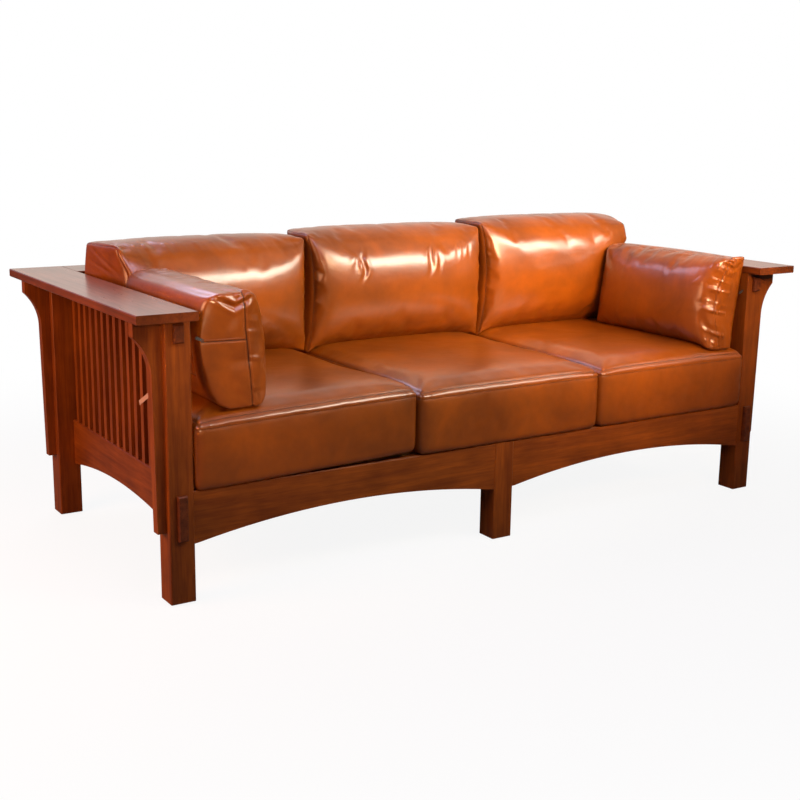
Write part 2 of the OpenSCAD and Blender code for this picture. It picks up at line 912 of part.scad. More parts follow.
// Rings of a swelling face from its seam at height z to its middle. bows holds the share of
// the swell that the middle of each side takes part in
function face_of(a, b, r, pulls, z, swell, bows, power) =
  [for (s = face_rings) let (c = 1 - pow(s, power))
    [for (p = face_loop(s, a, b, r, pulls)) [p[0], p[1], z + swell * (c + (1 - c) * p[2] * bows[p[3]])]]];

// Closed solid of a cushion of half sizes a and b and wall t, swelling by up and down. low_bows are
// the bows of its lower face. Its +v side is shifted by lean against its -v side
module cushion(a, b, t, r, pulls, up, down, bows, low_bows, power, lean = 0) {
  walls = [for (q = [-1, -0.5, 0, 0.5, 1])
    let (tuck = wall_swell * q * q, swell = q > 0 ? up * bows : down * low_bows)
      [for (p = cushion_loop(a - tuck, b - tuck, r, pulls))
        [p[0], p[1], q * (t / 2 + p[2] * swell[p[3]])]]];
  fa = a - wall_swell;
  fb = b - wall_swell;
  low_rings = down > 0 ? reversed(face_of(fa, fb, r, pulls, -t / 2, -down, low_bows, power)) : [];
  top_rings = face_of(fa, fb, r, pulls, t / 2, up, bows, power);
  rings = concat(low_rings, walls, top_rings);
  ring_n = len(rings);
  points = concat([[0, 0, -t / 2 - down]],
                  [for (ring = rings) each [for (p = ring) [p[0], p[1], p[2] + lean * p[1] / (2 * b)]]],
                  [[0, 0, t / 2 + up]]);
  last = len(points) - 1;
  faces = concat(
    [for (i = [0 : loop_n - 1]) [0, 1 + i, 1 + (i + 1) % loop_n]],
    [for (k = [0 : ring_n - 2], i = [0 : loop_n - 1])
      [1 + k * loop_n + i, 1 + (k + 1) * loop_n + i, 1 + k * loop_n + (i + 1) % loop_n]],
    [for (k = [0 : ring_n - 2], i = [0 : loop_n - 1])
      [1 + k * loop_n + (i + 1) % loop_n, 1 + (k + 1) * loop_n + i, 1 + (k + 1) * loop_n + (i + 1) % loop_n]],
    [for (i = [0 : loop_n - 1])
      [last, last - loop_n + (i + 1) % loop_n, last - loop_n + i]]
  );
  polyhedron(points, faces, convexity = 2);
}

// Seat cushions
seat_y0 = front_y - seat_over_front;
seat_y1 = bay_back - seat_back_gap;
seat_z = deck_z + rest_gap;
seat_end = inner_x - soft_gap / 2;
seat_top = seat_z + seat_wall;

module seat_cushion(x0, x1) {
  a = (x1 - x0) / 2;
  b = (seat_y1 - seat_y0) / 2;
  color(leather) translate([(x0 + x1) / 2, (seat_y0 + seat_y1) / 2, seat_z + seat_wall / 2])
    cushion(a, b, seat_wall, seat_r, [seat_pull, seat_pull, seat_pull, seat_pull], seat_crown, 0,
            [0, 0, 0, 0], [0, 0, 0, 0], seat_power);
}

module left_seat_cushion() {
  seat_cushion(-seat_end, seat_join_left - soft_gap / 2);
}

module middle_seat_cushion() {
  seat_cushion(seat_join_left + soft_gap / 2, seat_join_right - soft_gap / 2);
}

module right_seat_cushion() {
  seat_cushion(seat_join_right + soft_gap / 2, seat_end);
}

// Share of a seat cushion's crown at the share s of the way to its seam
crown_table = [for (s = concat([0], reversed(face_rings), [1])) [s, 1 - pow(s, seat_power)]];

// Height of the top of a seat cushion at a distance from its middle, where half is its half size
function seat_height(distance, half) =
  seat_top + seat_crown * lookup(min(1, abs(distance) / (half - wall_swell)), crown_table);

// How far a wall lies in from its widest line, at the share q of the way to its seam
function tuck_at(q) = lookup(abs(q), [[0, 0], [0.5, wall_swell / 4], [1, wall_swell]]);

// Height at which a wall of thickness t, whose middle lies at a distance from the middle
// of a seat cushion, comes to rest on that cushion
function resting_z(distance, t, half) =
  rest_gap + max([for (q = [-1 : 0.1 : 1]) seat_height(distance + q * t / 2, half) - tuck_at(q)]);

// Back cushions stand on the seat cushions and lean on the shelf's front edge
back_rear_y = shelf_y - soft_gap - back_rear_crown;
back_front_y = back_rear_y - back_t;
back_z = resting_z((back_front_y + back_rear_y) / 2 - (seat_y0 + seat_y1) / 2, back_t,
                   (seat_y1 - seat_y0) / 2);
back_end = arm_x - soft_gap;

module back_cushion(x0, x1, h, left_bow = back_bow) {
  a = (x1 - x0) / 2;
  bows = [back_bow, left_bow, 0, back_bow];
  color(leather) translate([(x0 + x1) / 2, (back_front_y + back_rear_y) / 2, back_z + h / 2])
    rotate([90, 0, 0])
      cushion(a, h / 2, back_t, back_r, [-back_rise, back_pull, 0, back_pull], back_crown, back_rear_crown,
              bows, bows, soft_power);
}

module left_back_cushion() {
  back_cushion(left_back_in - back_end, back_join_left - soft_gap / 2, left_back_h, left_end_bow);
}

module middle_back_cushion() {
  back_cushion(back_join_left + soft_gap / 2, back_join_right - soft_gap / 2, middle_back_h);
}

module right_back_cushion() {
  back_cushion(back_join_right + soft_gap / 2, back_end, right_back_h);
}

// Arm pillows stand on the end seat cushions, between the back cushions and the front
pillow_y1 = back_front_y - back_crown - soft_gap;
pillow_y0 = pillow_y1 - pillow_l;

// Height at which a pillow rests that stands off from the side panel and leans, next to a join
// of the seats
function pillow_z(off, lean, join) =
  resting_z(inner_x - off - (pillow_t + lean) / 2 - (seat_end + abs(join) + soft_gap / 2) / 2, pillow_t,
            (seat_end - abs(join) - soft_gap / 2) / 2);

// How far the end of a pillow is drawn in at the height up above its lower edge
function drawn_at(up) = pillow_pull * lookup((up - pillow_h / 2) / (pillow_h / 2 - pillow_r),
  [for (k = [side_steps : -1 : 0]) let (t = 1 - 2 * k / side_steps) [t, 1 - t * t]]);

// Place of the zip pull: share of the wall's half thickness, and share of the height
zip_share = 0.9;
zip_up = 0.6;

left_pillow_z = pillow_z(left_pillow_off, left_pillow_lean, seat_join_left);
right_pillow_z = pillow_z(right_pillow_off, right_pillow_lean, seat_join_right);

// Pillow on the right-hand side, whose wall starts at off from the side panel
module arm_pillow(off, z, rear, lean) {
  color(leather) translate([inner_x - off - pillow_t / 2, (pillow_y0 + pillow_y1) / 2, z + pillow_h / 2])
    rotate([90, 0, 90])
      cushion(pillow_l / 2, pillow_h / 2, pillow_t, pillow_r,
              [-pillow_rise, pillow_pull, 0, pillow_pull], rear, pillow_crown,
              [pillow_bow, pillow_out_bow, 0, pillow_out_bow], [pillow_bow, pillow_bow, 0, pillow_bow],
              soft_power, lean);
}

module left_arm_pillow() {
  on_left() arm_pillow(left_pillow_off, left_pillow_z, left_pillow_rear, left_pillow_lean);
}

module right_arm_pillow() {
  arm_pillow(right_pillow_off, right_pillow_z, right_pillow_rear, right_pillow_lean);
}

// Zip pull on the front end of a pillow, just above half height, near the seam on the arm's side
module zip_pull(off, z, rear, lean) {
  eye_d = 3;
  half = pillow_t / 2 + rear * pillow_out_bow;
  eye = zip_up * pillow_h;
  wall_y = pillow_y0 - rest_gap + min([for (up = [eye - zip_w / 2, eye + zip_w / 2])
    drawn_at(up) + tuck_at(zip_share - (zip_w / 2 + lean * (up / pillow_h - 0.5)) / half)]);
  color(steel)
    translate([inner_x - off - pillow_t / 2 + zip_share * half, wall_y - zip_t, z + eye])
    rotate([-90, 0, 0]) rotate(-90 - zip_turn) linear_extrude(zip_t)
      difference() {
        union() {
          translate([-zip_w / 2, 0]) square([zip_w, zip_l - zip_w / 2]);
          circle(d = zip_w);
        }
        circle(d = eye_d);
      }
}

module left_zip_pull() {
  on_left() zip_pull(left_pillow_off, left_pillow_z, left_pillow_rear, left_pillow_lean);
}

module right_zip_pull() {
  zip_pull(right_pillow_off, right_pillow_z, right_pillow_rear, right_pillow_lean);
}

// Tie tape threaded through the left spindles: behind one, outside the next two, behind a fourth
module tie_tape() {
  inside = side_panel_x - spindle_t / 2 - tape_t / 2 - rest_gap;
  outside = side_panel_x + spindle_t / 2 + tape_t / 2 + rest_gap;
  half = spindle_w / 2;
  function at(k) = spindle_at(side_spindle_n - 1 - k, side_spindle_n, bay_front, bay_l);
  low = at(tape_spindle);
  next = at(tape_spindle + 1);
  third = at(tape_spindle + 2);
  last = at(tape_spindle + 3);
  mid = (low + last) / 2;
  stretch = 1 / cos(tape_slope);
  turn = half + 1 + tape_w / 2 * sin(tape_slope);
  route = [[inside, low + half], [inside, low - turn], [outside, next + turn],
           [outside, third - turn], [inside, last + turn], [inside, last - half]];
  color(cloth) on_left()
    translate([0, mid, tape_z]) rotate([-tape_slope, 0, 0])
      translate([0, 0, -tape_w / 2]) linear_extrude(tape_w)
        polygon(concat(
          [for (p = route) [p[0] - tape_t / 2, (p[1] - mid) * stretch]],
          [for (i = [len(route) - 1 : -1 : 0]) [route[i][0] + tape_t / 2, (route[i][1] - mid) * stretch]]
        ));
}

front_left_post();
front_right_post();
back_left_post();
back_right_post();
center_front_leg();
center_back_post();
front_left_corbel();
front_right_corbel();
back_left_corbel();
back_right_corbel();
left_arm_board();
right_arm_board();
back_shelf_board();
left_lower_side_rail();
right_lower_side_rail();
left_upper_side_rail();
right_upper_side_rail();
left_side_spindles();
right_side_spindles();
left_front_apron();
right_front_apron();
left_lower_back_rail();
right_lower_back_rail();
left_upper_back_rail();
right_upper_back_rail();
left_back_spindles();
right_back_spindles();
lower_tenon_blocks();
upper_tenon_blocks();
front_cleats();
back_cleats();
center_stretcher();
seat_beams();
seat_slats();
slat_tapes();
cleat_screws();
arm_screws();
shelf_screws();
shelf_dowels();
leg_glides();
left_seat_cushion();
middle_seat_cushion();
right_seat_cushion();
left_back_cushion();
middle_back_cushion();
right_back_cushion();
left_arm_pillow();
right_arm_pillow();
left_zip_pull();
right_zip_pull();
tie_tape();
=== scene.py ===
# Three-seat spindle settle with loose leather cushions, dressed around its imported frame.
# Everything is in metres in the frame's axes: +X along the seat, the front faces -Y, +Z is up.
import math
import bpy
import numpy as np
from mathutils import Matrix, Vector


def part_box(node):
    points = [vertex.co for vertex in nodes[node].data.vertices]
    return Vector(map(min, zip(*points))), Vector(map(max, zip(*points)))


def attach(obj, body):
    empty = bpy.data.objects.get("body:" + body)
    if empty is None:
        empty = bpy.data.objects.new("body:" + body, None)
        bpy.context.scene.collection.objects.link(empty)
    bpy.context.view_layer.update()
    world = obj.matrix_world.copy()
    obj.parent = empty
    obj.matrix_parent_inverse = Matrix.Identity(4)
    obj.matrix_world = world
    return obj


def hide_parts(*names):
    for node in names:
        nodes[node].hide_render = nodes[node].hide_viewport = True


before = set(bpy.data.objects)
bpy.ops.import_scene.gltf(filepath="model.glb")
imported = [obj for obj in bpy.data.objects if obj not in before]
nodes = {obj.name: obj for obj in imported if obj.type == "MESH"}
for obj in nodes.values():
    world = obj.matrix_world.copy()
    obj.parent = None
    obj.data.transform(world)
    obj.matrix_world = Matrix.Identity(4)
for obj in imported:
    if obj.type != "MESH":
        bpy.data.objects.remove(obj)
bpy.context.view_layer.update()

# The view. A camera at chest height, left of the settle and four metres away, looks slightly
# down on it. Its place, turn and lens are those that the photograph was taken with.
camera_at = (-2.0683, -3.0924, 1.1524)
camera_yaw, camera_pitch, camera_roll = math.radians(32.96), math.radians(12.77), math.radians(0.82)
image_px, focal_px, sensor_mm = 800, 1262.95, 36.0


def placed(right, up, back, place):
    """The matrix that puts an object at place, with its own axes along right, up and back."""
    return Matrix([[right[i], up[i], back[i], place[i]] for i in range(3)] + [[0, 0, 0, 1]])


ahead = np.array([math.sin(camera_yaw) * math.cos(camera_pitch),
                  math.cos(camera_yaw) * math.cos(camera_pitch), -math.sin(camera_pitch)])
level_right = np.array([math.cos(camera_yaw), -math.sin(camera_yaw), 0.0])
level_up = np.cross(level_right, ahead)
right_way = math.cos(camera_roll) * level_right + math.sin(camera_roll) * level_up
up_way = math.cos(camera_roll) * level_up - math.sin(camera_roll) * level_right
lens = bpy.data.cameras.new("camera")
lens.sensor_width = sensor_mm
lens.lens = focal_px / image_px * sensor_mm
camera = bpy.data.objects.new("camera", lens)
camera.matrix_world = placed(right_way, up_way, -ahead, camera_at)
bpy.context.collection.objects.link(camera)
bpy.context.scene.camera = camera
bpy.context.scene.view_settings.view_transform = "Standard"

# The studio. A white paper sweep in a room whose wall behind is bright, warm on the right and
# bluish high up on the left, while the room ahead is dim. Seven softboxes light the settle; the
# long one, high at the front right, shows in the leather.
floor_half, floor_drop = 12.0, 0.0004


def linear(hex_colour):
    """An sRGB hex colour as linear red, green, blue and alpha 1: each channel c becomes
    c/12.92 below 0.04045 and ((c+0.055)/1.055) to the power 2.4 above it."""
    c = np.array([int(hex_colour[i:i + 2], 16) for i in (1, 3, 5)]) / 255
    return tuple(np.where(c <= 0.04045, c / 12.92, ((c + 0.055) / 1.055) ** 2.4)) + (1.0,)


def add(tree, kind, inputs=(), stops=(), **settings):
    """Adds a node. inputs holds pairs of an output socket or a value and the input, by name or
    number, that takes it. stops holds a colour ramp's places and colours. Settings named like an
    input, with underscores for spaces, set that input, the others the node's own properties."""
    made = tree.nodes.new(kind)
    for name, value in settings.items():
        label = name.replace("_", " ")
        socket = next((s for s in made.inputs if s.name == label), None)
        if socket is None:
            setattr(made, name, value)
        else:
            socket.default_value = value
    for number, (place, colour) in enumerate(stops):
        made.color_ramp.elements[number].position = place
        made.color_ramp.elements[number].color = colour
    for source, target in inputs:
        if isinstance(source, bpy.types.NodeSocket):
            tree.links.new(source, made.inputs[target])
        else:
            made.inputs[target].default_value = source
    return made


world = bpy.data.worlds.new("white_room")
bpy.context.scene.world = world
world.use_nodes = True
room = world.node_tree
room.nodes.clear()

# The room by direction: behind makes it brighter towards the wall at the back, most of all on the
# right or high up, where the window is, and seen keeps it plain white for the camera.
rays = add(room, "ShaderNodeLightPath")
seen = add(room, "ShaderNodeMath", [(rays.outputs["Is Camera Ray"], 0),
                                    (rays.outputs["Is Transmission Ray"], 1)], operation="MAXIMUM")
direction = add(room, "ShaderNodeTexCoord")
heading = add(room, "ShaderNodeSeparateXYZ", [(direction.outputs["Generated"], 0)])
behind = add(room, "ShaderNodeMapRange", [(heading.outputs["Y"], 0)], interpolation_type="SMOOTHSTEP",
             From_Min=-0.1, From_Max=0.75, To_Min=0.12, To_Max=0.95)
rightward = add(room, "ShaderNodeMapRange", [(heading.outputs["X"], 0)], interpolation_type="SMOOTHSTEP",
                From_Min=-0.5, From_Max=0.3, To_Min=0.0, To_Max=1.0)
upward = add(room, "ShaderNodeMapRange", [(heading.outputs["Z"], 0)], interpolation_type="SMOOTHSTEP",
             From_Min=0.1, From_Max=0.5, To_Min=0.2, To_Max=0.75)
wall_colour = add(room, "ShaderNodeMix", [(rightward.outputs[0], 0), (linear("#cdcdfa"), 6),
                                          (linear("#fdeee2"), 7)], data_type="RGBA")
window = add(room, "ShaderNodeMath", [(rightward.outputs[0], 0), (upward.outputs[0], 1)],
             operation="MAXIMUM")
strength = add(room, "ShaderNodeMath", [(behind.outputs[0], 0), (window.outputs[0], 1)],
               operation="MULTIPLY")
lit = add(room, "ShaderNodeBackground", [(wall_colour.outputs[2], 0), (strength.outputs[0], 1)])
white = add(room, "ShaderNodeBackground", Color=linear("#ffffff"), Strength=1.0)
either = add(room, "ShaderNodeMixShader", [(seen.outputs[0], 0), (lit.outputs[0], 1),
                                           (white.outputs[0], 2)])
add(room, "ShaderNodeOutputWorld", [(either.outputs[0], 0)])

floor_mesh = bpy.data.meshes.new("floor")
floor_mesh.from_pydata([(-floor_half, -floor_half, -floor_drop), (floor_half, -floor_half, -floor_drop),
                        (floor_half, floor_half, -floor_drop), (-floor_half, floor_half, -floor_drop)],
                       [], [(0, 1, 2, 3)])
floor = bpy.data.objects.new("floor", floor_mesh)
bpy.context.collection.objects.link(floor)

# Matt paper: the camera sees it pale near the settle, where it takes the shadow, and pure white
# from glow_far on. What it throws back on the settle is duller, as in a room.
glow_near, glow_far, glow_least = 1.0, 2.6, 0.9
paper = bpy.data.materials.new("white_paper_sweep")
paper.use_nodes = True
sheet = paper.node_tree
sheet.nodes.clear()
paper_rays = add(sheet, "ShaderNodeLightPath")
tone = add(sheet, "ShaderNodeMix", [(paper_rays.outputs["Is Camera Ray"], 0), (linear("#7d7974"), 6),
                                    (linear("#f4f3f1"), 7)], data_type="RGBA")
matt = add(sheet, "ShaderNodeBsdfDiffuse", [(tone.outputs[2], 0)])
glow = add(sheet, "ShaderNodeEmission", Color=linear("#ffffff"), Strength=1.0)
spot = add(sheet, "ShaderNodeTexCoord")
reach = add(sheet, "ShaderNodeVectorMath", [(spot.outputs["Object"], 0)], operation="LENGTH")
fade = add(sheet, "ShaderNodeMapRange", [(reach.outputs["Value"], 0)], interpolation_type="SMOOTHSTEP",
           From_Min=glow_near, From_Max=glow_far, To_Min=glow_least, To_Max=1.0)
share = add(sheet, "ShaderNodeMath", [(paper_rays.outputs["Is Camera Ray"], 0), (fade.outputs[0], 1)],
            operation="MULTIPLY")
paper_mix = add(sheet, "ShaderNodeMixShader", [(share.outputs[0], 0), (matt.outputs[0], 1),
                                               (glow.outputs[0], 2)])
add(sheet, "ShaderNodeOutputMaterial", [(paper_mix.outputs[0], 0)])
floor_mesh.materials.append(paper)


def softbox(name, place, target, width, height, watts, colour, spread=180):
    """A rectangular area lamp of the given width and height at place, which faces target and
    shines within the given spread in degrees."""
    lamp = bpy.data.lights.new(name, "AREA")
    lamp.shape, lamp.size, lamp.size_y, lamp.energy = "RECTANGLE", width, height, watts
    lamp.color = linear(colour)[:3]
    lamp.spread = math.radians(spread)
    stand = bpy.data.objects.new(name, lamp)
    stand.visible_camera = False
    back = np.array(place, float) - np.array(target, float)
    back /= np.linalg.norm(back)
    side = np.cross((0, 0, 1), back)
    side /= np.linalg.norm(side)
    stand.matrix_world = placed(side, np.cross(back, side), back, place)
    bpy.context.collection.objects.link(stand)


# The first shines through the spindles, low from the left. The next three give the leather its
# long lights, the window one comes from behind, and two warm fills reach the front.
softbox("left_lamp", (-2.4, -0.2, 1.05), (-0.95, -0.05, 0.45), 1.1, 0.9, 38, "#ffb888")
softbox("key_softbox", (1.0, -1.3, 1.62), (0.2, 0.2, 0.80), 2.0, 0.5, 17, "#fff2dc", spread=68)
softbox("top_softbox", (0.6, -0.5, 2.3), (0.2, 0.1, 0.5), 1.5, 1.0, 3, "#fff0e0")
softbox("cool_fill", (-0.9, -1.4, 2.1), (-0.5, 0.1, 0.6), 0.7, 0.6, 14, "#dcdcff")
softbox("window_softbox", (-0.6, 1.1, 1.9), (0.6, -0.1, 0.6), 0.9, 0.7, 10, "#d8daff")
softbox("right_fill", (0.2, -2.0, 1.5), (0.55, 0.0, 0.66), 0.8, 0.6, 7, "#ffcf9e", spread=42)
softbox("left_fill", (-1.5, -2.4, 1.1), (-0.76, -0.43, 0.62), 0.3, 0.3, 0.6, "#ffcf9e", spread=20)


# The frame. Quarter-sawn oak, stained red-brown and rubbed with a satin lacquer. The grain runs
# along each piece; every stick has its own tone, so neighbours differ a little.
# Real pores are finer: pore_mm is the finest that still shows.
grain_mm, pore_mm, ray_fleck_mm, tone_mm = 7.0, 1.6, 30.0, 55.6
grain_stretch, ray_stretch = 20, 3
pore_depth_mm = 0.4


def stained_oak(name, along, light="#8f4a14", dark="#6e340e", rough=0.38, coat=0.06):
    """Oak whose colour is two noises stretched grain_stretch times along the grain: bands and
    pores. A soft noise, stretched ray_stretch times, gives the ray flecks, and one without
    stretch shifts the tone from stick to stick. A noise of Scale 500/n has patches of n mm, and
    each noise multiplies the colour by factors between its two stops."""
    wood = bpy.data.materials.new(name)
    wood.use_nodes = True
    tree = wood.node_tree
    shader = tree.nodes["Principled BSDF"]
    where = add(tree, "ShaderNodeTexCoord").outputs["Object"]
    grain, rays_in_oak = [
        add(tree, "ShaderNodeMapping", [(where, 0)],
            Scale=[1 / times if axis == along else 1.0 for axis in "xyz"])
        for times in (grain_stretch, ray_stretch)]
    bands = add(tree, "ShaderNodeTexNoise", [(grain.outputs[0], 0)], Scale=500 / grain_mm, Detail=4.0,
                Roughness=0.6, Distortion=0.5)
    pores = add(tree, "ShaderNodeTexNoise", [(grain.outputs[0], 0)], Scale=500 / pore_mm, Detail=2.0)
    flecks = add(tree, "ShaderNodeTexNoise", [(rays_in_oak.outputs[0], 0)], Scale=500 / ray_fleck_mm,
                 Detail=3.0, Roughness=0.7)
    tones = add(tree, "ShaderNodeTexNoise", [(where, 0)], Scale=500 / tone_mm, Detail=3.0)
    stain = add(tree, "ShaderNodeValToRGB", [(bands.outputs["Fac"], 0)],
                stops=((0.3, linear(dark)), (0.7, linear(light))))
    colour = stain.outputs[0]
    for noise, amount, stops in (
            (pores, 0.4, ((0.36, (0.6, 0.52, 0.46, 1)), (0.52, (1, 1, 1, 1)))),
            (flecks, 0.8, ((0.35, (0.8, 0.76, 0.72, 1)), (0.6, (1.05, 1.04, 1.02, 1)))),
            (tones, 1.0, ((0.3, (0.8, 0.78, 0.76, 1)), (0.7, (1.1, 1.08, 1.05, 1))))):
        factor = add(tree, "ShaderNodeValToRGB", [(noise.outputs["Fac"], 0)], stops=stops)
        product = add(tree, "ShaderNodeMix", [(amount, 0), (colour, 6), (factor.outputs[0], 7)],
                      data_type="RGBA", blend_type="MULTIPLY")
        colour = product.outputs[2]
    tree.links.new(colour, shader.inputs["Base Color"])
    sheen = add(tree, "ShaderNodeMapRange", [(bands.outputs["Fac"], 0)],
                To_Min=rough + 0.06, To_Max=rough - 0.04)
    tree.links.new(sheen.outputs[0], shader.inputs["Roughness"])
    ridge = add(tree, "ShaderNodeBump", [(pores.outputs["Fac"], "Height")], Strength=0.1,
                Distance=pore_depth_mm / 1000)
    tree.links.new(ridge.outputs[0], shader.inputs["Normal"])
    shader.inputs["Specular IOR Level"].default_value = 0.28
    shader.inputs["Coat Weight"].default_value = coat
    shader.inputs["Coat Roughness"].default_value = 0.22
    return wood


# The sticks are satin; the arm boards and the shelf board have a thicker, glossier coat. The
# tenons show end grain, which soaks up more stain and is darker.
board_look = dict(light="#84401a", dark="#65300f", rough=0.28, coat=0.6)
oak_up = stained_oak("stained_oak_upright", "z")
oak_across = stained_oak("stained_oak_across", "x")
oak_deep = stained_oak("stained_oak_deep", "y")
board_deep = stained_oak("arm_board_oak", "y", **board_look)
board_across = stained_oak("shelf_board_oak", "x", **board_look)
end_grain = stained_oak("tenon_end_oak", "y", light="#74391a", dark="#4a220d", rough=0.4, coat=0.2)


def dress(material, *names):
    """Gives the CAD nodes with these names the material."""
    for name in names:
        nodes[name].data.materials.clear()
        nodes[name].data.materials.append(material)


dress(oak_up, "front_left_post", "front_right_post", "back_left_post", "back_right_post",
      "center_front_leg", "center_back_post", "front_left_corbel", "front_right_corbel",
      "back_left_corbel", "back_right_corbel", "left_side_spindles", "right_side_spindles",
      "left_back_spindles", "right_back_spindles")
dress(oak_across, "left_front_apron", "right_front_apron", "left_lower_back_rail",
      "right_lower_back_rail", "left_upper_back_rail", "right_upper_back_rail")
dress(oak_deep, "left_lower_side_rail", "right_lower_side_rail", "left_upper_side_rail",
      "right_upper_side_rail")
dress(board_deep, "left_arm_board", "right_arm_board")
dress(board_across, "back_shelf_board")
dress(end_grain, "lower_tenon_blocks", "upper_tenon_blocks")

# The seat base, out of sight under the cushions. Plain pine cleats, beams and slats, unstained,
# with beech dowels of the same pale tone, zinc-plated screws, nylon glides and a woven cotton
# tape over the slats.
pine_look = dict(light="#c9a673", dark="#a9814e", rough=0.55, coat=0.0)
pine = stained_oak("plain_pine", "y", **pine_look)
pine_across = stained_oak("plain_pine_across", "x", **pine_look)
dress(pine, "center_stretcher", "seat_slats")
dress(pine_across, "front_cleats", "back_cleats", "seat_beams", "shelf_dowels")


def plain(name, colour, rough, metal=0.0, grit_mm=1.2, depth_mm=0.05):
    """A material of one stuff: a noise with patches of grit_mm takes its tone from 0.75 to 1.15
    times the colour, its roughness 0.06 either way, and raises it by up to depth_mm."""
    made = bpy.data.materials.new(name)
    made.use_nodes = True
    tree = made.node_tree
    shader = tree.nodes["Principled BSDF"]
    where = add(tree, "ShaderNodeTexCoord")
    grit = add(tree, "ShaderNodeTexNoise", [(where.outputs["Object"], 0)], Scale=500 / grit_mm, Detail=3.0)
    own = np.array(linear(colour))
    tones = add(tree, "ShaderNodeValToRGB", [(grit.outputs["Fac"], 0)],
                stops=((0.0, tuple(own * (0.75, 0.75, 0.75, 1))),
                       (1.0, tuple(np.minimum(own * (1.15, 1.15, 1.15, 1), 1)))))
    tree.links.new(tones.outputs[0], shader.inputs["Base Color"])
    sheen = add(tree, "ShaderNodeMapRange", [(grit.outputs["Fac"], 0)],
                To_Min=rough - 0.06, To_Max=rough + 0.06)
    tree.links.new(sheen.outputs[0], shader.inputs["Roughness"])
    bump = add(tree, "ShaderNodeBump", [(grit.outputs["Fac"], "Height")], Strength=0.4,
               Distance=depth_mm / 1000)
    tree.links.new(bump.outputs[0], shader.inputs["Normal"])
    shader.inputs["Metallic"].default_value = metal
    return made


# Zinc plate has an uneven grey gloss, moulded nylon is near black and satin, and the tape's
# thick threads are matt.
zinc = plain("zinc_plated_steel", "#b9b7b0", rough=0.35, metal=1.0)
nylon = plain("black_nylon", "#1c1a18", rough=0.5)
cotton = plain("cotton_tape", "#b99588", rough=0.85, grit_mm=1.5, depth_mm=0.3)
dress(zinc, "cleat_screws", "arm_screws", "shelf_screws")
dress(nylon, "leg_glides")
dress(cotton, "slat_tapes", "tie_tape")


# The leather. Full-grain hide, dyed tan with an antique wash that leaves it mottled, and waxed to
# a gloss. Seams show as dark lines with a row of thread beside them; each cover tells the hide
# where its seams run.
cloud_mm, wash_fleck_mm, softness_mm = 83.3, 11.9, 38.5
seam_mm, row_mm, thread_mm, stitch_mm, dash_share = 1.0, 4.5, 0.6, 5.0, 0.72
hide_pore_mm = 3.03  # ten times the real pores, which are too fine to show


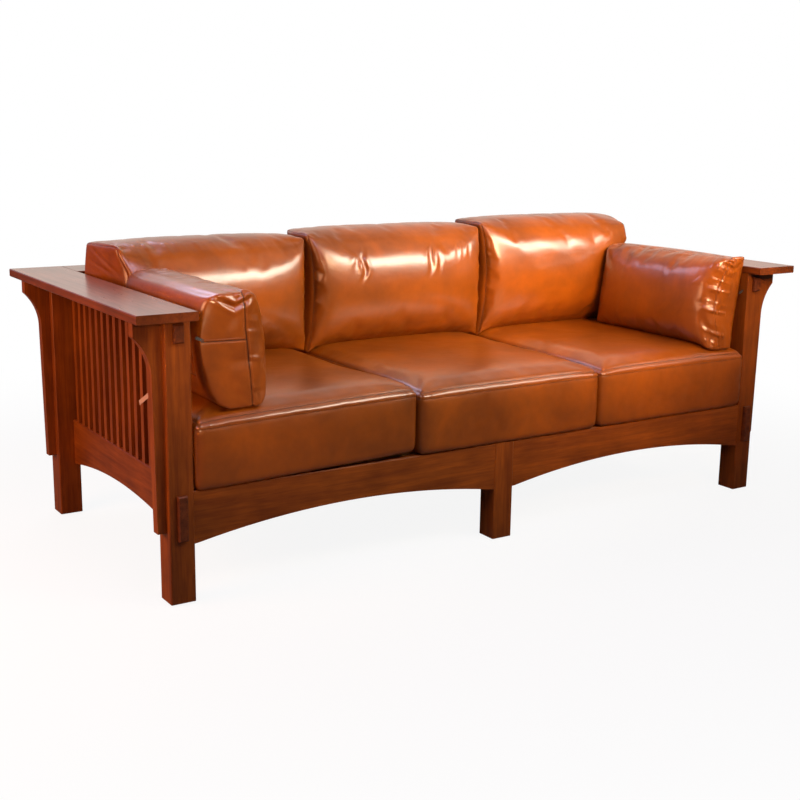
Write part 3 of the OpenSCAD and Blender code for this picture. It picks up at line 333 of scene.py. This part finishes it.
def glazed_hide():
    """Colour from two noises, clouds and the flecks of the wash, with patches of cloud_mm and
    wash_fleck_mm. Bump from cells of hide_pore_mm for the pores and from a soft noise. The covers'
    attribute sewing holds the length along the seams and the distances from two of them: within
    half of seam_mm the hide is dark and sunken, and row_mm away lie stitches of stitch_mm, each a
    thread over dash_share of its length."""
    hide = bpy.data.materials.new("glazed_tan_hide")
    hide.use_nodes = True
    tree = hide.node_tree
    shader = tree.nodes["Principled BSDF"]
    where = add(tree, "ShaderNodeTexCoord").outputs["Object"]
    clouds = add(tree, "ShaderNodeTexNoise", [(where, 0)], Scale=500 / cloud_mm, Detail=4.0,
                 Roughness=0.55, Distortion=0.4)
    flecks = add(tree, "ShaderNodeTexNoise", [(where, 0)], Scale=500 / wash_fleck_mm, Detail=5.0)
    dye = add(tree, "ShaderNodeValToRGB", [(clouds.outputs["Fac"], 0)],
              stops=((0.3, linear("#6c3406")), (0.72, linear("#914809"))))
    wash = add(tree, "ShaderNodeValToRGB", [(flecks.outputs["Fac"], 0)],
               stops=((0.34, (0.86, 0.82, 0.8, 1)), (0.6, (1, 1, 1, 1))))
    mottled = add(tree, "ShaderNodeMix", [(0.6, 0), (dye.outputs[0], 6), (wash.outputs[0], 7)],
                  data_type="RGBA", blend_type="MULTIPLY")

    sewing = add(tree, "ShaderNodeAttribute", attribute_name="sewing")
    along = add(tree, "ShaderNodeSeparateXYZ", [(sewing.outputs["Vector"], 0)])
    gap, second_gap = [add(tree, "ShaderNodeMath", [(along.outputs[axis], 0)], operation="ABSOLUTE")
                       for axis in "YZ"]
    nearest = add(tree, "ShaderNodeMath", [(gap.outputs[0], 0), (second_gap.outputs[0], 1)],
                  operation="MINIMUM")
    seam = add(tree, "ShaderNodeMapRange", [(nearest.outputs[0], 0)], interpolation_type="SMOOTHSTEP",
               From_Min=seam_mm / 2000, From_Max=seam_mm / 700, To_Min=1.0, To_Max=0.0)
    past_row = add(tree, "ShaderNodeMath", [(nearest.outputs[0], 0), (row_mm / 1000, 1)],
                   operation="SUBTRACT")
    off_row = add(tree, "ShaderNodeMath", [(past_row.outputs[0], 0)], operation="ABSOLUTE")
    row = add(tree, "ShaderNodeMapRange", [(off_row.outputs[0], 0)], interpolation_type="SMOOTHSTEP",
              From_Min=thread_mm / 2000, From_Max=thread_mm * 3 / 2000, To_Min=1.0, To_Max=0.0)
    stitches = add(tree, "ShaderNodeMath", [(along.outputs["X"], 0), (stitch_mm / 1000, 1)],
                   operation="DIVIDE")
    in_stitch = add(tree, "ShaderNodeMath", [(stitches.outputs[0], 0)], operation="FRACT")
    dash = add(tree, "ShaderNodeMath", [(in_stitch.outputs[0], 0), (dash_share, 1)], operation="LESS_THAN")
    thread = add(tree, "ShaderNodeMath", [(row.outputs[0], 0), (dash.outputs[0], 1)], operation="MULTIPLY")
    threaded = add(tree, "ShaderNodeMix", [(thread.outputs[0], 0), (mottled.outputs[2], 6),
                                           (linear("#8a4514"), 7)], data_type="RGBA")
    creased = add(tree, "ShaderNodeMix", [(seam.outputs[0], 0), (threaded.outputs[2], 6),
                                          (linear("#34160a"), 7)], data_type="RGBA")
    tree.links.new(creased.outputs[2], shader.inputs["Base Color"])
    gloss = add(tree, "ShaderNodeMapRange", [(clouds.outputs["Fac"], 0)], To_Min=0.34, To_Max=0.27)
    tree.links.new(gloss.outputs[0], shader.inputs["Roughness"])

    pores = add(tree, "ShaderNodeTexVoronoi", [(where, 0)], Scale=1000 / hide_pore_mm)
    pore_bump = add(tree, "ShaderNodeBump", [(pores.outputs["Distance"], "Height")], Strength=0.12,
                    Distance=0.0005)
    soft = add(tree, "ShaderNodeTexNoise", [(where, 0)], Scale=500 / softness_mm, Detail=3.0, Roughness=0.5)
    soft_bump = add(tree, "ShaderNodeBump", [(soft.outputs["Fac"], "Height"),
                                             (pore_bump.outputs[0], "Normal")],
                    Strength=0.25, Distance=0.008)
    thread_rise = add(tree, "ShaderNodeMath", [(thread.outputs[0], 0), (0.35, 1)], operation="MULTIPLY")
    sewn = add(tree, "ShaderNodeMath", [(thread_rise.outputs[0], 0), (seam.outputs[0], 1)],
               operation="SUBTRACT")
    sewn_bump = add(tree, "ShaderNodeBump", [(sewn.outputs[0], "Height"), (soft_bump.outputs[0], "Normal")],
                    Strength=1.0, Distance=0.0012)
    tree.links.new(sewn_bump.outputs[0], shader.inputs["Normal"])
    shader.inputs["IOR"].default_value = 1.5
    shader.inputs["Coat Weight"].default_value = 0.25
    shader.inputs["Coat Roughness"].default_value = 0.16
    return hide


leather = glazed_hide()


# Seat cushions. Firm boxed cushions, leather over foam, with a rolled front edge between two
# seams. They lie side by side on the slats, held by the aprons and side panels round them.
seat_wall, seat_crown, seat_roll, seat_strip = 0.168, 0.027, 0.015, 0.020
seat_power, seat_rise = 5.0, 0.4
seat_axes = np.array([(1, 0, 0), (0, 1, 0), (0, 0, 1)], float)
outermost = 0.999  # a share beyond it lies on that side itself
covers = {}


def box_skin(counts):
    """The skin of a box of counts[0] x counts[1] x counts[2] cells as whole-number lattice points
    and outward quads. Each side is a grid of two of the counts; shared edge points are kept once."""
    points, quads, start = [], [], 0
    for axis, far in ((0, 0), (0, 1), (1, 0), (1, 1), (2, 0), (2, 1)):
        first, second = [a for a in range(3) if a != axis]
        i, j = np.meshgrid(np.arange(counts[first] + 1), np.arange(counts[second] + 1), indexing="ij")
        side = np.empty(i.shape + (3,), int)
        side[..., first], side[..., second], side[..., axis] = i, j, far * counts[axis]
        number = start + np.arange(i.size).reshape(i.shape)
        quad = np.stack([number[:-1, :-1], number[1:, :-1], number[1:, 1:], number[:-1, 1:]], -1)
        points.append(side.reshape(-1, 3))
        quads.append(quad.reshape(-1, 4)[:, ::-1] if (far == 1) == (axis == 1) else quad.reshape(-1, 4))
        start += i.size
    points, where = np.unique(np.concatenate(points), axis=0, return_inverse=True)
    return points, where.reshape(-1)[np.concatenate(quads)]


def sewn_box(half, shares, corner, pulls, crown, back_crown, bows, back_bows, rolls, back_rolls,
             powers, rises):
    """A boxed cushion of half sizes a, b, c in its own axes u, v, w, where a point's shares p, q, s
    of them run from -1 to 1. The edges are rounded: what lies beyond the inner box, divided by the
    rolls, is set to length 1 and multiplied back. Along a side, a roll grows from corner to its
    full size by 1 - q^4. The panels swell by crown (f + (1-f) bow m), where f = (1-|p|^power)^rise
    times the same of q, and m = 1 - q^2 along the side. Sides draw in by pull m. Bow and pull fade
    inwards by |p|^3. pulls, bows and rolls list the sides +u, +v, -u, -v."""
    a, b, c = half
    p, q, s = shares.T
    front = s > 0
    along_q, along_p = 1 - q ** 2, 1 - p ** 2

    def of_side(high, low):
        """The number of the u side and of the v side that each point is nearest to."""
        return [np.where(front, np.where(x > 0, high[i], high[i + 2]), np.where(x > 0, low[i], low[i + 2]))
                for i, x in ((0, p), (1, q))]

    roll_u, roll_v = of_side(rolls, back_rolls)
    roll_u = corner + (roll_u - corner) * (1 - q ** 4)
    roll_v = corner + (roll_v - corner) * (1 - p ** 4)
    roll = np.stack([roll_u, roll_v, np.maximum(roll_u, roll_v)], -1)
    flat = np.stack([a * p, b * q, c * s], -1)
    inner = np.clip(abs(flat) - (np.array(half) - roll), 0, None)
    unit = inner / roll
    length = np.maximum(np.linalg.norm(unit, axis=-1, keepdims=True), 1e-9)
    flat = np.sign(flat) * (abs(flat) - inner + roll * unit / length)
    pull_u, pull_v = of_side(pulls, pulls)
    bow_u, bow_v = of_side(bows, back_bows)
    flat[:, 0] -= np.sign(p) * pull_u * abs(p) ** 3 * along_q
    flat[:, 1] -= np.sign(q) * pull_v * abs(q) ** 3 * along_p
    side_bow = bow_u * abs(p) ** 3 * along_q + bow_v * abs(q) ** 3 * along_p
    full = (1 - abs(p) ** powers[0]) ** rises[0] * (1 - abs(q) ** powers[1]) ** rises[1]
    swell = np.where(front, crown, back_crown)
    on_panel = abs(s) > outermost
    panel_swell = np.sign(s) * swell * (full + (1 - full) * side_bow)
    flat[:, 2] += np.where(on_panel, panel_swell, s * swell * side_bow)
    return flat


def skin_object(name, points, quads, shares):
    """A smooth-shaded object with these points and faces, whose shares p, q, s are kept on it."""
    mesh = bpy.data.meshes.new(name)
    mesh.from_pydata(points.tolist(), [], quads.tolist())
    mesh.polygons.foreach_set("use_smooth", np.ones(len(mesh.polygons), bool))
    mesh.attributes.new("shares", "FLOAT_VECTOR", "POINT").data.foreach_set("vector", shares.ravel())
    piece = bpy.data.objects.new(name, mesh)
    bpy.context.collection.objects.link(piece)
    return piece


def cut_cover(name, node, body, axes, middle, half, counts, air, held, warp, **form):
    """Makes one cover from its form, laid out along axes round its middle, and notes how it is to
    be swollen. Its points stand closer near the edges: a share is 0.6 of itself plus 0.4 of its
    sine. held picks the points that keep their place, and warp changes the form further."""
    lattice, quads = box_skin(np.array(counts))
    shares = 2 * lattice / np.array(counts) - 1
    shares[:, :2] = 0.6 * shares[:, :2] + 0.4 * np.sin(shares[:, :2] * math.pi / 2)
    points = warp(sewn_box(half, shares, **form), *shares.T)
    piece = skin_object(name, points @ axes + middle, quads, shares)
    group = piece.vertex_groups.new(name="held")
    group.add(np.flatnonzero(held(*shares.T)).tolist(), 1.0, "REPLACE")
    covers[piece] = air
    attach(piece, body)
    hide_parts(node)
    return piece


def step_to(x, low, high):
    """A smooth step from 0 at low to 1 at high: 3 t^2 - 2 t^3 of the share t of the way."""
    t = np.clip((x - low) / (high - low), 0, 1)
    return t * t * (3 - 2 * t)


def lay_seat(side, lift_left=0.0, lift_right=0.0):
    """A seat cushion, whose front half rises towards its front edge, from lift_left at its left
    end to lift_right at its right one."""
    low, high = (np.array(corner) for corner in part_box(side + "_seat_cushion"))
    half = np.array([(high[0] - low[0]) / 2, (high[1] - low[1]) / 2, seat_wall / 2])
    middle = (low + high) / 2
    middle[2] = low[2] + half[2]

    def warp(points, p, q, s):
        """Lifts the front half, by the share of the way from the left end to the right one."""
        front = step_to(-q, 0.1, 1.0)
        points[:, 2] += front * (lift_left + (lift_right - lift_left) * (p + 1) / 2)
        return points

    def held(p, q, s):
        """The bottom with the lower border, the ends, the rear and the panels' front edges stay."""
        panel_edges = (abs(s) > outermost) & (abs(q) > outermost)
        return (s < -0.4) | (abs(p) > 0.97) | (q > 0.9) | panel_edges

    piece = cut_cover(side + "_seat_leather", side + "_seat_cushion", side + "_seat", seat_axes, middle,
                      half, (40, 52, 10), dict(stretch=15, bend=1.5, pressure=2.0, spare=0.004, cap=0.005),
                      held, warp, corner=0.022, pulls=(0.003,) * 4, crown=seat_crown, back_crown=0.0,
                      bows=(0,) * 4, back_bows=(0,) * 4, rolls=(0.009, seat_roll, 0.009, seat_roll),
                      back_rolls=(0.012,) * 4, powers=(seat_power,) * 2, rises=(seat_rise,) * 2)
    return piece, half


def rows_of(data, what):
    """A number triple of every item as an array of rows."""
    flat = np.empty(3 * len(data))
    data.foreach_get(what, flat)
    return flat.reshape(-1, 3)


def finer(piece, levels=2):
    """Replaces the mesh by its Catmull-Clark subdivision and returns its shares."""
    smooth = piece.modifiers.new("finer", "SUBSURF")
    smooth.levels = smooth.render_levels = levels
    made = bpy.data.meshes.new_from_object(piece.evaluated_get(bpy.context.evaluated_depsgraph_get()))
    piece.modifiers.clear()
    piece.data = made
    made.name = piece.name
    return rows_of(made.attributes["shares"].data, "vector")


def raised(piece, height):
    """Moves each point of the piece by its height along its outward normal."""
    points = rows_of(piece.data.vertices, "co") + rows_of(piece.data.vertices, "normal") * height[:, None]
    piece.data.vertices.foreach_set("co", points.ravel())
    piece.data.update()


def sew(piece, run, gap, second_gap):
    """Notes on the cover how far each point lies along and from its seams, for the hide. A gap
    that is noted larger than it is draws the seam and its stitches finer."""
    sewing = piece.data.attributes.new("sewing", "FLOAT_VECTOR", "POINT")
    sewing.data.foreach_set("vector", np.stack([run, gap, second_gap], -1).ravel())


def from_rim(p, q, a, b):
    """How far each point lies inwards from the nearest of the four sides, and how far along it."""
    from_u, from_v = a * (1 - abs(p)), b * (1 - abs(q))
    return np.minimum(from_u, from_v), np.where(from_u < from_v, b * q, a * p)


def bell(x, wide):
    """A bell of height 1 over x: e to the power -(x / wide)^2."""
    return np.exp(-(x / wide) ** 2)


def finish_seat(piece, half):
    """Sinks the two seams, puffs up the strip between them and gathers it near its ends. One seam
    goes round the border, 0.9 of the roll below its edge, the other seat_strip further up."""
    strip_puff, seam_depth, gather_height, seam_wide = 0.0011, 0.0008, 0.0012, 0.003
    p, q, s = finer(piece).T
    a, b, c = half
    inward, run = from_rim(p, q, a, b)
    over = np.where(s > outermost, inward, -c * (1 - s))
    gap, second = over + seat_roll * 0.9, over + seat_roll * 0.9 - seat_strip
    puff = bell(gap - seat_strip / 2, seat_strip / 3)
    height = strip_puff * puff - seam_depth * (bell(gap, seam_wide) + bell(second, seam_wide))
    ends = step_to(abs(p), 0.75, 1.0)
    ripples = np.clip(np.sin(run / 0.0021) + np.sin(run / 0.0034 + 1), 0, None)
    height += gather_height * puff * ends * ripples
    raised(piece, height)
    sew(piece, run, 2.5 * gap, 2.5 * second)


seats = [lay_seat("left", lift_left=-0.004, lift_right=0.012), lay_seat("middle"), lay_seat("right")]


# Back cushions. Softer than the seats, one hide over front and top, sewn to a gusset at each end.
# They stand on the seats and lean on the shelf; each is a little higher than the one on its left.
back_wall, back_arch, back_line = 0.165, 0.006, 0.237
back_axes = np.array([(1, 0, 0), (0, 0, 1), (0, -1, 0)], float)
no_seam = 1.0  # a gap of a metre, at which nothing of a seam shows


def seat_top(x, y):
    """Height of the seats' tops at x, y: the swell of the seat that lies there, and the height of
    their upper edges where none does."""
    height = np.full(x.shape, 0.0)
    for side in ("left", "middle", "right"):
        low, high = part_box(side + "_seat_cushion")
        p, q = (abs(2 * (v - low[i]) / (high[i] - low[i]) - 1) for i, v in ((0, x), (1, y)))
        full = (np.clip(1 - p ** seat_power, 0, 1) * np.clip(1 - q ** seat_power, 0, 1)) ** seat_rise
        height = np.maximum(height, np.where(p <= 1, low[2] + seat_wall + seat_crown * full, 0))
    return np.where(height > 0, height, low[2] + seat_wall)


def sunk(points, axes, middle, rest, q):
    """The points of a cushion that stands at the height rest, its lower edge let down onto the
    seats, 1 mm above them and by 20 mm at most."""
    x, y, _ = (points @ axes + middle).T
    points[:, 1] -= np.clip(rest - seat_top(x, y) - 0.001, 0, 0.02) * step_to(-q, 0.3, 1.0)
    return points


def stand_back(side, rolls, bows, end_pulls, warp):
    """A back cushion with these rolls, bows and pulls of its right and left end, whose form warp
    changes further. Its middle lies back_line behind the settle's own."""
    low, high = (np.array(corner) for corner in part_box(side + "_back_cushion"))
    half = np.array([(high[0] - low[0]) / 2, (high[2] - back_arch - low[2]) / 2, back_wall / 2])
    middle = np.array([(low[0] + high[0]) / 2, back_line, low[2] + half[1]])

    def held(p, q, s):
        """The end faces, the bottom and the rear panel stay."""
        end = (abs(p) > 0.97) & ((abs(p) > outermost) | (s < 0.5))
        return end | (q < -0.97) | (s < -0.9)

    def formed(points, p, q, s):
        """The form as warp changes it, let down onto the seats."""
        return sunk(warp(points, p, q, s), back_axes, middle, low[2], q)

    piece = cut_cover(side + "_back_leather", side + "_back_cushion", side + "_back", back_axes, middle,
                      half, (50, 30, 12), dict(stretch=15, bend=0.8, pressure=4.0, spare=0.014, cap=0.010),
                      held, formed, corner=0.007, pulls=(end_pulls[0], -0.004, end_pulls[1], 0.0),
                      crown=0.066, back_crown=0.018, bows=bows, back_bows=(0.35, 0.3, 0.35, 0.0),
                      rolls=rolls, back_rolls=(0.012,) * 4, powers=(3.2, 2.1), rises=(0.5, 0.85))
    return piece, half, middle


def near_left(p):
    """A share that is 1 at the left end, fades by |p|^6 and is 0 from the middle on."""
    return np.where(p < 0, abs(p) ** 6, 0)


def left_back_form(points, p, q, s):
    """The left end slants: its front seam is drawn in by 30 mm at the top and 52 mm below."""
    ahead_share = ((1 + s) / 2) ** 1.3
    drawn = 0.030 + 0.022 * step_to(1 - q, 0.05, 0.5)
    points[:, 0] += near_left(p) * ahead_share * drawn
    return points


def middle_back_form(points, p, q, s):
    """The left end's rear seam is drawn in by 18 mm."""
    points[:, 0] += 0.018 * near_left(p) * step_to(-s, 0.0, 1.0)
    return points


def right_back_form(points, p, q, s):
    """The right end swells out by 33 mm over the arm board, its front top corner hangs down by
    23 mm, and the left end's rear seam is drawn in by 12 mm."""
    over_arm = step_to(points[:, 1], 0.070, 0.098)
    points[:, 0] += np.where(p > 0, abs(p) ** 5, 0) * over_arm * 0.033 * step_to(s, -1.4, 0.4)
    points[:, 1] -= 0.023 * step_to(p, 0.72, 1.05) * step_to(s, 0.0, 1.1) * step_to(q, 0.4, 1.0)
    points[:, 0] += 0.012 * near_left(p) * step_to(-s, 0.0, 1.0)
    return points


backs = {"left": stand_back("left", rolls=(0.022, 0.045, 0.018, 0.03), bows=(0.35, 0.3, 0.75, 0.0),
                            end_pulls=(0.009, -0.012), warp=left_back_form),
         "middle": stand_back("middle", rolls=(0.022, 0.045, 0.022, 0.03), bows=(0.35, 0.3, 0.35, 0.0),
                              end_pulls=(0.009, 0.009), warp=middle_back_form),
         "right": stand_back("right", rolls=(0.009, 0.040, 0.022, 0.03), bows=(0.30, 0.3, 0.35, 0.0),
                             end_pulls=(0.0, 0.009), warp=right_back_form)}


def gathers(run, gap, reach, waves):
    """Puckers that leave a seam at right angles: the positive part of a sum of sines of run, one
    for each wave (length, share, start), fading in over 2 mm and out over reach from the seam."""
    height = sum(share * np.sin(run / length * 2 * math.pi + start) for length, share, start in waves)
    gap = np.clip(gap, 0, None)
    return np.clip(height, 0, None) * bell(gap, reach) * (1 - bell(gap, 0.002))


def fold(across, along, wide, long):
    """A crease with its two lips: the second derivative of a bell over across, times a bell over
    along; -1 in the middle of the crease, up to 0.45 on its lips."""
    x = (across / wide) ** 2
    return (x - 1) * np.exp(-x / 2) * bell(along, long)


def left_back_creases(u, v, w, p, q, s):
    """Gathers that hang from the roll along the top's front, wider towards the left end, and two
    folds in the end itself."""
    waves = ((0.047, 0.9, 1.0), (0.083, 0.8, 0.0), (0.029, 0.5, 2.0))
    _, half, _ = backs["left"]
    down = half[1] - v
    at_end = step_to(-p, 0.985, 1.0)
    folds = fold(v - 0.128 + 0.5 * w, w - 0.01, 0.007, 0.05)
    folds += 0.7 * fold(v - 0.100 + 0.3 * w, w, 0.006, 0.04)
    hanging = gathers(u + 0.25 * v, down + 0.004, 0.045, waves) * (0.35 + 0.65 * step_to(-u, -0.1, 0.25))
    return 0.0026 * folds * at_end + 0.0015 * hanging * step_to(w, 0.0, 0.05)


def middle_back_creases(u, v, w, p, q, s):
    """Two pairs of upright folds in the upper half, and three faint ripples near the right end."""
    x, z = u + 0.0165, v - 0.075
    front = step_to(w, 0.02, 0.06)
    creases = 0.0050 * fold(x + 0.134 - 0.12 * z + 0.005 * np.sin(z / 0.011), z, 0.008, 0.034)
    creases += 0.0026 * fold(x + 0.158 - 0.3 * z, z - 0.012, 0.010, 0.020)
    creases += 0.0042 * fold(x - 0.104 - 0.25 * z + 0.004 * np.sin(z / 0.013), z - 0.004, 0.010, 0.034)
    creases += 0.0022 * fold(x - 0.136 - 0.1 * z, z + 0.006, 0.008, 0.022)
    for place in (0.205, 0.228, 0.251):
        creases += 0.0009 * fold(x - place - 0.2 * z, z - 0.030, 0.008, 0.026)
    return creases * front


def right_back_creases(u, v, w, p, q, s):
    """Faint shallow waves under the top: a sine along the width, turned by the height, times a
    bell over the height."""
    waves = np.sin(u / 0.021 + 2 * v / 0.05) * bell(v - 0.09, 0.05)
    return 0.0008 * waves * step_to(w, 0.02, 0.06)


def finish_back(piece, half, middle, more):
    """Sinks the seams round the two ends and along the top's rear edge, gathers the hide beside
    them, and adds the creases that more(u, v, w, p, q, s) gives in the cushion's own axes."""
    seam_depth, seam_wide, gather_height, gather_reach = 0.0015, 0.004, 0.0009, 0.022
    p, q, s = finer(piece).T
    a, b, c = half
    at_end = abs(p) > outermost
    rim = np.minimum(c * (1 - abs(s)), b * (1 - abs(q)))
    gap = np.where(at_end, -rim, a * (1 - abs(p)))
    second = np.where(q > outermost, c * (1 + s), np.where(s < -outermost, -b * (1 - q), no_seam))
    run = np.where(abs(s) > outermost, b * q, c * s)
    u, v, w = ((rows_of(piece.data.vertices, "co") - middle) @ back_axes.T).T
    waves = ((0.034, 0.8, 0.5), (0.021, 0.6, 2.0), (0.055, 0.7, 4.0))
    ease = gather_height * (1 - step_to(q, 0.5, 0.9))
    height = ease * gathers(run + 0.1 * p, gap, gather_reach, waves) - seam_depth * bell(gap, seam_wide)
    height += more(u, v, w, p, q, s)
    raised(piece, height)
    sew(piece, run, 3 * gap, second)


# Arm pillows. Soft boxed pillows that stand between the back cushions and the front. Their hides
# are gathered into the gusset, and a zip runs in the gusset with its pull at the front end.
pillow_wall, pillow_arch = 0.095, 0.005
front_pull, rear_pull = 0.006, 0.009
left_pillow_axes = np.array([(0, 1, 0), (0, 0, 1), (1, 0, 0)], float)
right_pillow_axes = np.array([(0, -1, 0), (0, 0, 1), (-1, 0, 0)], float)


def stand_pillow(side, axes, wall_x, out_swell, lean, front, ear):
    """An arm pillow whose walls are centred on wall_x and lean outwards by lean over their height,
    with its outer panel swollen by out_swell. front is the sign of its front end along u, and ear
    the height by which the outer top corner of that end stands up."""
    low, high = (np.array(corner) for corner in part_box(side + "_arm_pillow"))
    half = np.array([(high[1] - low[1]) / 2, (high[2] - pillow_arch - low[2]) / 2, pillow_wall / 2])
    middle = np.array([wall_x, (low[1] + high[1]) / 2, low[2] + half[1]])
    end_pulls = (front_pull, rear_pull) if front > 0 else (rear_pull, front_pull)

    def warp(points, p, q, s):
        """Leans the pillow outwards, raises its ear and lets it down onto the seat."""
        points[:, 2] -= lean * points[:, 1] / (2 * half[1])
        points[:, 1] += ear * step_to(p * front, 0.86, 1.0) * step_to(q, 0.6, 1.0) * step_to(-s, -0.6, 0.4)
        return sunk(points, axes, middle, low[2], q)

    def held(p, q, s):
        """The bottom, the rear end and the outer part of the wall stay."""
        return (q < -0.97) | (p * front < -0.97) | (s < -0.3)

    piece = cut_cover(side + "_pillow_leather", side + "_arm_pillow", side + "_pillow", axes, middle,
                      half, (44, 24, 12), dict(stretch=15, bend=0.4, pressure=4.0, spare=0.02, cap=0.010),
                      held, warp, corner=0.012, pulls=(end_pulls[0], -0.004, end_pulls[1], 0.0),
                      crown=0.043, back_crown=out_swell, bows=(0.45, 0.4, 0.45, 0.0),
                      back_bows=(1.0, 0.45, 1.0, 0.0), rolls=(0.028, 0.030, 0.028, 0.016),
                      back_rolls=(0.028, 0.024, 0.028, 0.016), powers=(3.0, 2.5), rises=(0.5, 0.5))
    return piece, half, middle, axes


pillows = {"left": stand_pillow("left", left_pillow_axes, wall_x=-0.7925, out_swell=0.056, lean=0.024,
                                front=-1, ear=0.0),
           "right": stand_pillow("right", right_pillow_axes, wall_x=0.8455, out_swell=0.010, lean=0.036,
                                 front=1, ear=0.007)}


# The outer panels lie out of sight against the arms. Their seam is drawn as a sewn frame: past 1,
# its share of half the wall goes on inwards from the panel's edge.
outer_seam = 2.4


def left_gusset(q, s):
    """The share of half the wall at which the left pillow's seams lie: the inner one is nearest to
    the wall's middle midway up."""
    return np.where(s > 0, 0.43 - 0.13 * (1 - q ** 2), outer_seam)


def right_gusset(q, s):
    """The same share on the right pillow, whose gusset is widest midway up."""
    return np.where(s > 0, 0.28 + 0.14 * q + 0.5 * (1 - q ** 2), outer_seam)


def finish_pillow(piece, half, middle, axes, seam_at, front, joint, puckered, folded):
    """Sinks the seams between gusset and panels, at the share seam_at(q, s) of half the wall, and
    the gusset's joint across the front end, joint above its middle, and gathers the hide beside
    the seams: on the panel, or by the share puckered in long gathers on both sides. Long low waves
    cross the inner panel. Under the front top edge the gusset is folded in by folded."""
    seam_depth, seam_wide, joint_depth, joint_wide = 0.0022, 0.0035, 0.0014, 0.003
    pucker, pucker_reach, gather, gather_reach = 0.0019, 0.034, 0.0026, 0.045
    wave, wave_reach = 0.0007, 0.085
    p, q, s = finer(piece).T
    a, b, c = half
    inward, run = from_rim(p, q, a, b)
    gap = c * (abs(s) - seam_at(q, s)) + np.where(abs(s) > outermost, inward, 0)
    u, v, w = ((rows_of(piece.data.vertices, "co") - middle) @ axes.T).T
    across_end = (p * front > outermost) & (gap < 0.001)
    second = np.where(across_end, v - joint, no_seam)
    waves = ((0.031, 0.8, 0.5), (0.022, 0.5, 2.0), (0.057, 0.6, 4.0))
    near_end = 0.25 + 0.75 * step_to(p * front, 0.8, 0.95)
    on_panel = gathers(run + 0.2 * gap, gap, pucker_reach, waves)
    both_sides = gathers(run - 0.3 * gap, abs(gap + 0.01), gather_reach, waves)
    height = (pucker * near_end * (1 - puckered) * on_panel + gather * near_end * puckered * both_sides
              - seam_depth * (1 - 0.5 * puckered) * bell(gap, seam_wide)
              - joint_depth * bell(second, joint_wide))
    long_waves = ((0.060, 0.9, 1.0), (0.085, 0.8, 3.0), (0.044, 0.6, 5.0))
    height += wave * gathers(run, gap - 0.01, wave_reach, long_waves) * (s > 0)
    top = b - 0.034 + 0.5 * abs(w + 0.012)
    flap = fold(v - top, w + 0.012, 0.008, 0.045) + 0.5 * fold(v - top - 0.018, w - 0.012, 0.005, 0.03)
    height += folded * flap * step_to(p * front, 0.93, 0.99)
    raised(piece, height)
    sew(piece, run, (1 + 2 * puckered) * gap, second)


# The filling. Foam and down press the hides outwards, so all covers are swollen together, as cloth
# under pressure, and each then gets its seams, gathers and creases. The zips' pulls are polished
# steel.
fill_frames = 20


def blow_up(pieces):
    """Swells the covers as cloth under pressure for fill_frames. The points of the group held stay
    where they are, and no point moves further than the piece's cap: a way of length d becomes
    cap tanh(d / cap)."""
    scene = bpy.context.scene
    for piece, air in pieces.items():
        cloth = piece.modifiers.new("cover", "CLOTH")
        cloth.settings.quality = 4
        cloth.settings.mass = 0.25
        cloth.settings.air_damping = 2.0
        cloth.settings.tension_stiffness = cloth.settings.compression_stiffness = air["stretch"]
        cloth.settings.shear_stiffness = air["stretch"] / 2
        cloth.settings.bending_stiffness = air["bend"]
        cloth.settings.tension_damping = cloth.settings.compression_damping = 8
        cloth.settings.use_pressure = True
        cloth.settings.uniform_pressure_force = air["pressure"]
        cloth.settings.shrink_min = -air["spare"]
        cloth.settings.vertex_group_mass = "held"
        cloth.settings.pin_stiffness = 1
        cloth.settings.effector_weights.gravity = 0
        cloth.collision_settings.use_collision = False
        cloth.point_cache.frame_start, cloth.point_cache.frame_end = 1, fill_frames
    for frame_number in range(1, fill_frames + 1):
        scene.frame_set(frame_number)
    graph = bpy.context.evaluated_depsgraph_get()
    for piece, air in pieces.items():
        start = rows_of(piece.data.vertices, "co")
        step = rows_of(piece.evaluated_get(graph).data.vertices, "co") - start
        length = np.linalg.norm(step, axis=1, keepdims=True)
        cap = air["cap"]
        end = start + step * np.where(length > 0, cap * np.tanh(length / cap) / np.maximum(length, 1e-9), 1)
        piece.modifiers.clear()
        piece.data.vertices.foreach_set("co", end.ravel())
        piece.data.update()
    scene.frame_set(1)


blow_up(covers)

for piece, half in seats:
    finish_seat(piece, half)
back_creases = {"left": left_back_creases, "middle": middle_back_creases, "right": right_back_creases}
for side, more in back_creases.items():
    finish_back(*backs[side], more)
finish_pillow(*pillows["left"], left_gusset, front=-1, joint=0.021, puckered=0.0, folded=0.0055)
finish_pillow(*pillows["right"], right_gusset, front=1, joint=no_seam, puckered=1.0, folded=0.002)
for piece in covers:
    piece.data.materials.append(leather)
dress(plain("zip_steel", "#cfcbc2", rough=0.25, metal=1.0), "left_zip_pull", "right_zip_pull")
